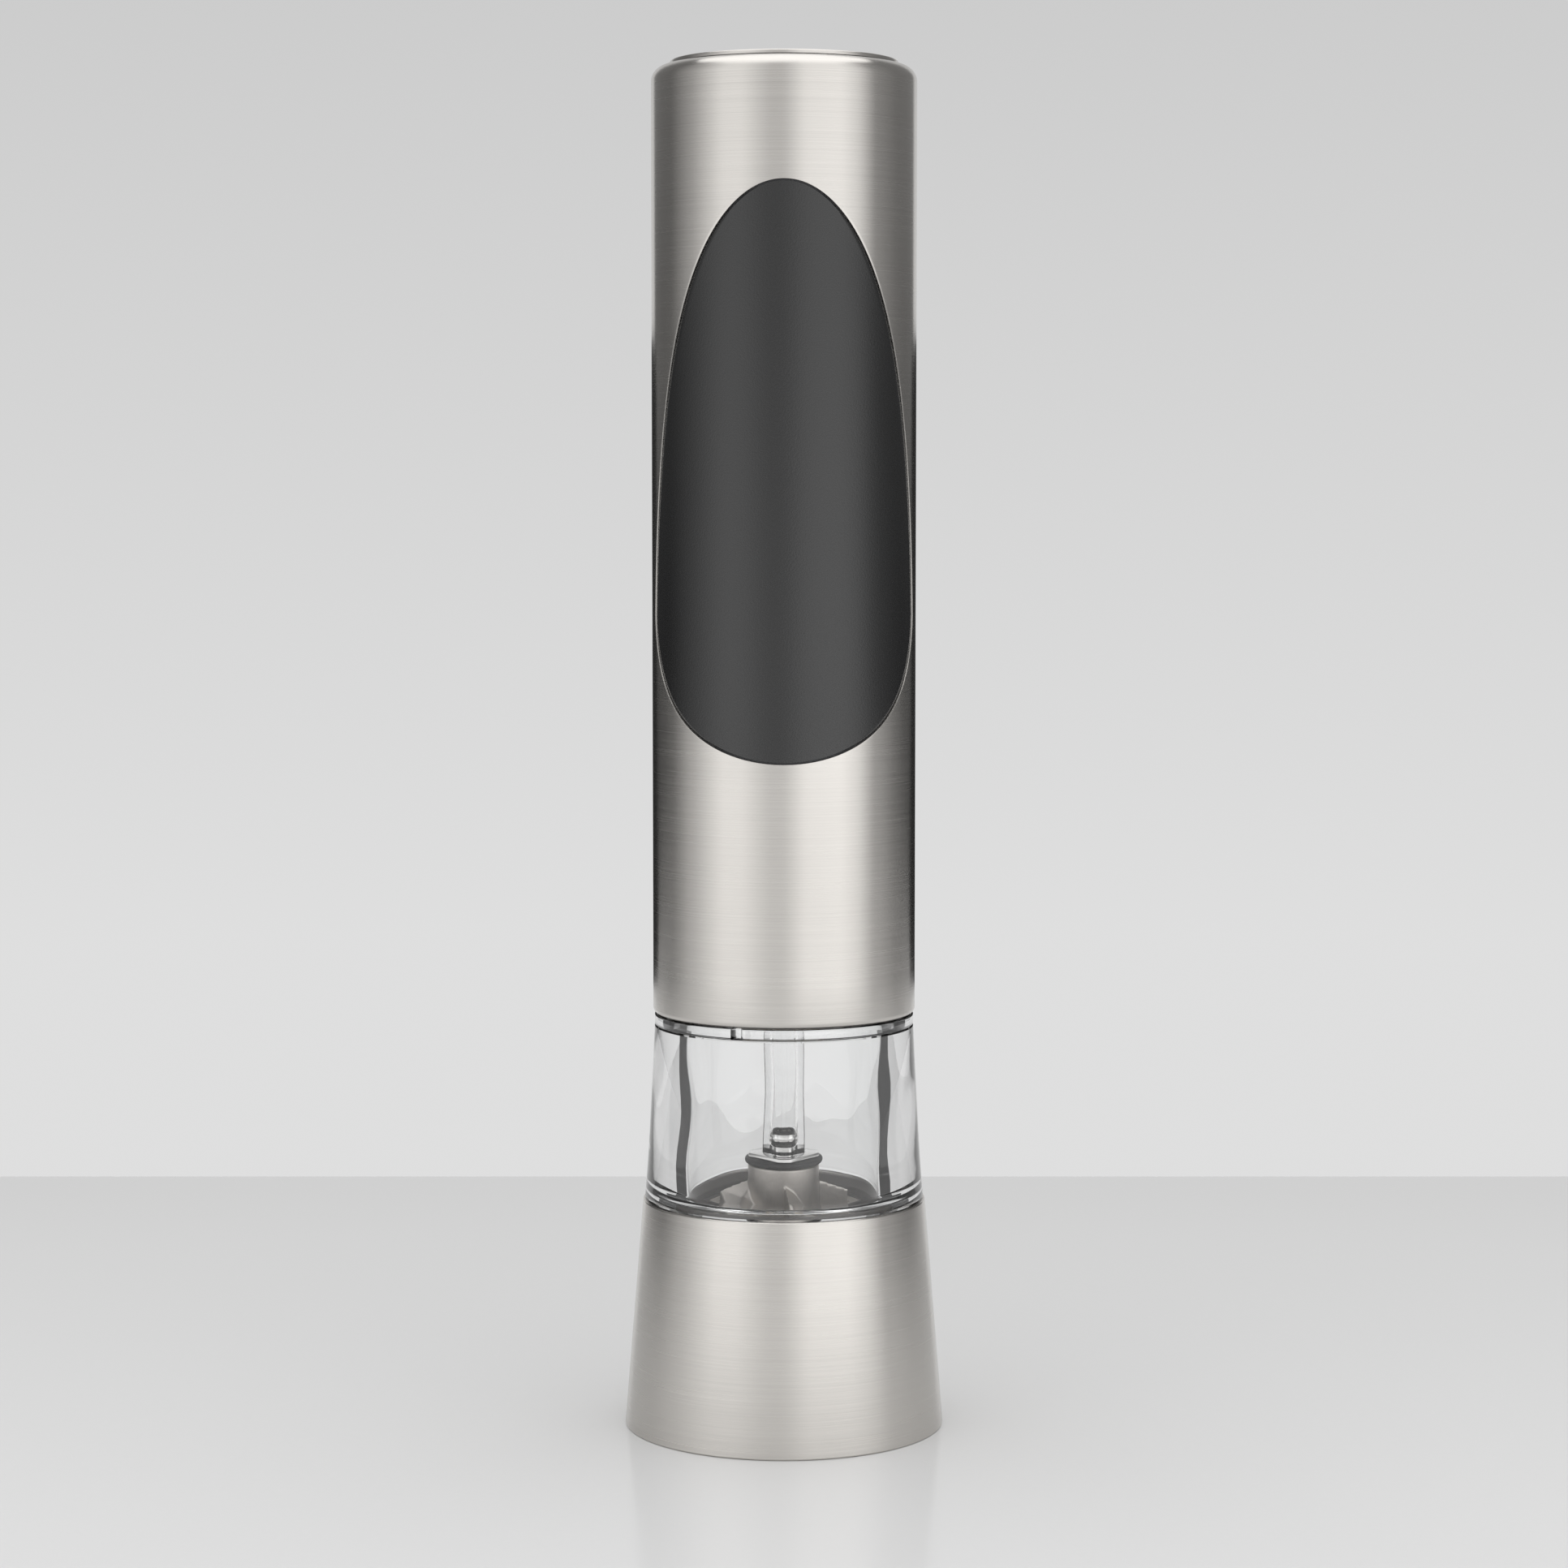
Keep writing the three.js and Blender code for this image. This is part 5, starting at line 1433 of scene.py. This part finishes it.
@dataclass
class Studio:
    """Camera, table, surround and the lamps and flags that light and shade the steel.

    The ring's glow is a list of directions, in degrees from the front, and their radiance.
    """

    lens: float = 85.03
    sensor: float = 36.0
    sight: tuple = (0.01, 20.0)
    camera_back: float = 0.5835
    camera_height: float = 0.1496
    camera_pitch: float = 4.64
    surround_span: tuple = (-0.12, 0.14)
    surround_glow: tuple = (0.735, 0.60)
    table_rear: float = 0.209
    table_reach: float = 1.4
    table_depth: float = 0.03
    table_grain: float = 900.0
    table_index: float = 1.16
    # Colours of the table at its lit front and at its back, which is darker as painted shade
    table_lit_front: Color = (0.84, 0.84, 0.84)
    table_shaded_back: Color = (0.68, 0.68, 0.68)
    table_painted_shade_start: float = -0.12
    table_gloss: float = 0.12
    table_worn: float = 0.1
    table_worn_span: tuple = (0.14, 0.4)
    ring_radius: float = 0.52
    ring_top: float = 0.8
    ring_columns: int = 121
    ring_glow: tuple = (
        (-150.0, 0.2), (-112.0, 0.15), (-84.0, 0.42), (-54.0, 1.0), (-36.0, 1.0),
        (-12.0, 0.62), (0.0, 0.62), (18.0, 1.08), (50.0, 1.16), (66.0, 0.9),
        (84.0, 0.3), (112.0, 0.2), (150.0, 0.22),
    )
    edge_start: float = 90.0
    edge_end: float = 125.0
    edge_low: float = 0.01
    edge_high: float = 0.26
    edge_dim: float = 0.95
    low_gain: float = 0.42
    flags: tuple = (
        Flag("edge_flag", 133.0, 163.0, 0.06, 0.175, 0.08, 0.02, True),
        Flag("chamber_flag", 105.0, 121.0, 0.004, 0.075, 0.074, 0.07, False),
    )
    overhead_reach: float = 0.8
    overhead_height: float = 1.2
    overhead_glow: float = 1.6

    def build(self) -> None:
        """Sets up the whole studio."""
        self.camera()
        self.surround()
        self.table()
        self.ring()
        self.overhead()
        for flag in self.flags:
            for side in (-1, 1):
                self.flag(flag, side)
        bpy.context.scene.view_settings.view_transform = "Standard"

    def camera(self) -> None:
        """The camera: in front of the mill at the height of its grip, looking down a little."""
        data = bpy.data.cameras.new("camera")
        data.lens = self.lens
        data.sensor_width = self.sensor
        data.clip_start, data.clip_end = self.sight
        made = bpy.data.objects.new("camera", data)
        made.location = (0, -self.camera_back, self.camera_height)
        made.rotation_euler = (np.pi / 2 - np.radians(self.camera_pitch), 0, 0)
        bpy.context.scene.collection.objects.link(made)
        bpy.context.scene.camera = made

    def surround(self) -> None:
        """A pale surround that darkens a little with height."""
        bench = Bench(bpy.data.worlds.new("surround"), "Generated")
        glow = bench.axes()[2].ramped(*self.surround_span, *self.surround_glow)
        bpy.context.scene.world = bench.close(
            "ShaderNodeBackground", "ShaderNodeOutputWorld", Color=glow
        )

    def table(self) -> None:
        """The pale table: a slab with a soft gloss that ends behind the mill. Its colour darkens from the
        front to the back as painted shade, standing in for the lamps' light falling off.
        """
        reach, rear, depth = self.table_reach / MM, self.table_rear / MM, self.table_depth / MM
        ring = np.array([(-reach, -reach), (reach, -reach), (reach, rear), (-reach, rear)])
        rings = [(ring * 0, 0.0), (ring, 0.0), (ring, -depth), (ring * 0, -depth)]
        made = skin("table", lofted(rings))
        bench = Bench.material("table_top")
        grain = bench.noise(self.table_grain)
        x, y, _ = bench.axes()
        away = ((x * x + y * y) ** 0.5).ramped(*self.table_worn_span)
        # Painted shade: the colour darkens towards the back where less light falls, with a little real
        # grain on top
        shade = y.ramped(self.table_painted_shade_start, self.table_rear) + 0.1 * grain
        material = bench.finish(
            Base_Color=bench.blend(shade, self.table_lit_front, self.table_shaded_back),
            Roughness=self.table_gloss + 0.03 * grain + self.table_worn * away,
            IOR=self.table_index,
        )
        made.data.materials.append(material)

    def band(self, start: float, end: float, reach: float, low: float, high: float) -> Array:
        """An upright band round the axis, as a grid of two rows.

        Args:
            start: First direction, in degrees from the front, rightwards.
            end: Last direction.
            reach: Distance from the axis, in metres.
            low: Height of its foot, in metres.
            high: Height of its top, in metres.

        Returns:
            The grid, in millimetres.
        """
        angle = np.radians(np.linspace(start, end, self.ring_columns) + FRONT)
        return wrapped(reach / MM, angle, np.array([low, high])[:, None] / MM)

    def flag(self, flag: Flag, side: int) -> None:
        """One card of a pair: side is 1 for the right and -1 for the left."""
        grid = self.band(side * flag.start, side * flag.end, flag.distance, flag.low, flag.high)
        made = skin(f"{flag.name}_{side + 1}", grid, columns_meet=False)
        self.hide(made, Bench.material(flag.name).glow(grey(flag.glow)))
        made.visible_diffuse = False
        made.visible_glossy = flag.glossy
        made.visible_transmission = not flag.glossy

    def ring(self) -> None:
        """The band of softboxes and dark flags round the mill, open behind it.

        Its glow runs straight from each listed direction to the next. Towards both open ends
        it is darker near the table.
        """
        grid = self.band(
            self.ring_glow[0][0], self.ring_glow[-1][0], self.ring_radius, 0.0, self.ring_top
        )
        made = skin("light_ring", grid, columns_meet=False)
        bench = Bench.material("light_ring")
        across, back, height = bench.axes()
        turn = bench.maths("ARCTAN2", across, back * -1.0) * (180 / np.pi)
        glow = turn * 0.0 + self.ring_glow[0][1]
        for (here, level), (there, following) in zip(self.ring_glow, self.ring_glow[1:]):
            glow = glow + (following - level) * turn.ramped(here, there)
        edge = turn.ramped(-self.edge_start, -self.edge_end)
        edge = edge + turn.ramped(self.edge_start, self.edge_end)
        dark = 1 - height.ramped(self.edge_low, self.edge_high)
        glow = glow * (1 + dark * (self.low_gain - (self.edge_dim + self.low_gain) * edge))
        self.hide(made, bench.glow(glow))
        made.visible_diffuse = False

    def overhead(self) -> None:
        """The flat light above the mill."""
        reach, height = self.overhead_reach / MM, self.overhead_height / MM
        row = np.array([(-reach, -reach, height), (reach, -reach, height)])
        grid = np.stack([row, row + np.array([0, 2 * reach, 0])])
        made = skin("overhead_light", grid, columns_meet=False)
        self.hide(made, Bench.material("overhead_light").glow(grey(self.overhead_glow)))

    def hide(self, made: bpy.types.Object, material: bpy.types.Material) -> None:
        """Keeps a lamp out of the camera's sight and lets it cast no shadow."""
        made.data.materials.append(material)
        made.visible_camera = False
        made.visible_shadow = False


def main() -> None:
    """Builds the studio and every sub-assembly in order."""
    logging.basicConfig(level=logging.INFO, format="%(name)s: %(message)s")
    paint = Paint()
    Studio().build()
    for assembly in (Base, Chamber, Grinder, MotorUnit, Sleeve, Button):
        LOG.info("building %s", assembly.__name__)
        assembly(paint).build()


if __name__ == "__main__":
    main()
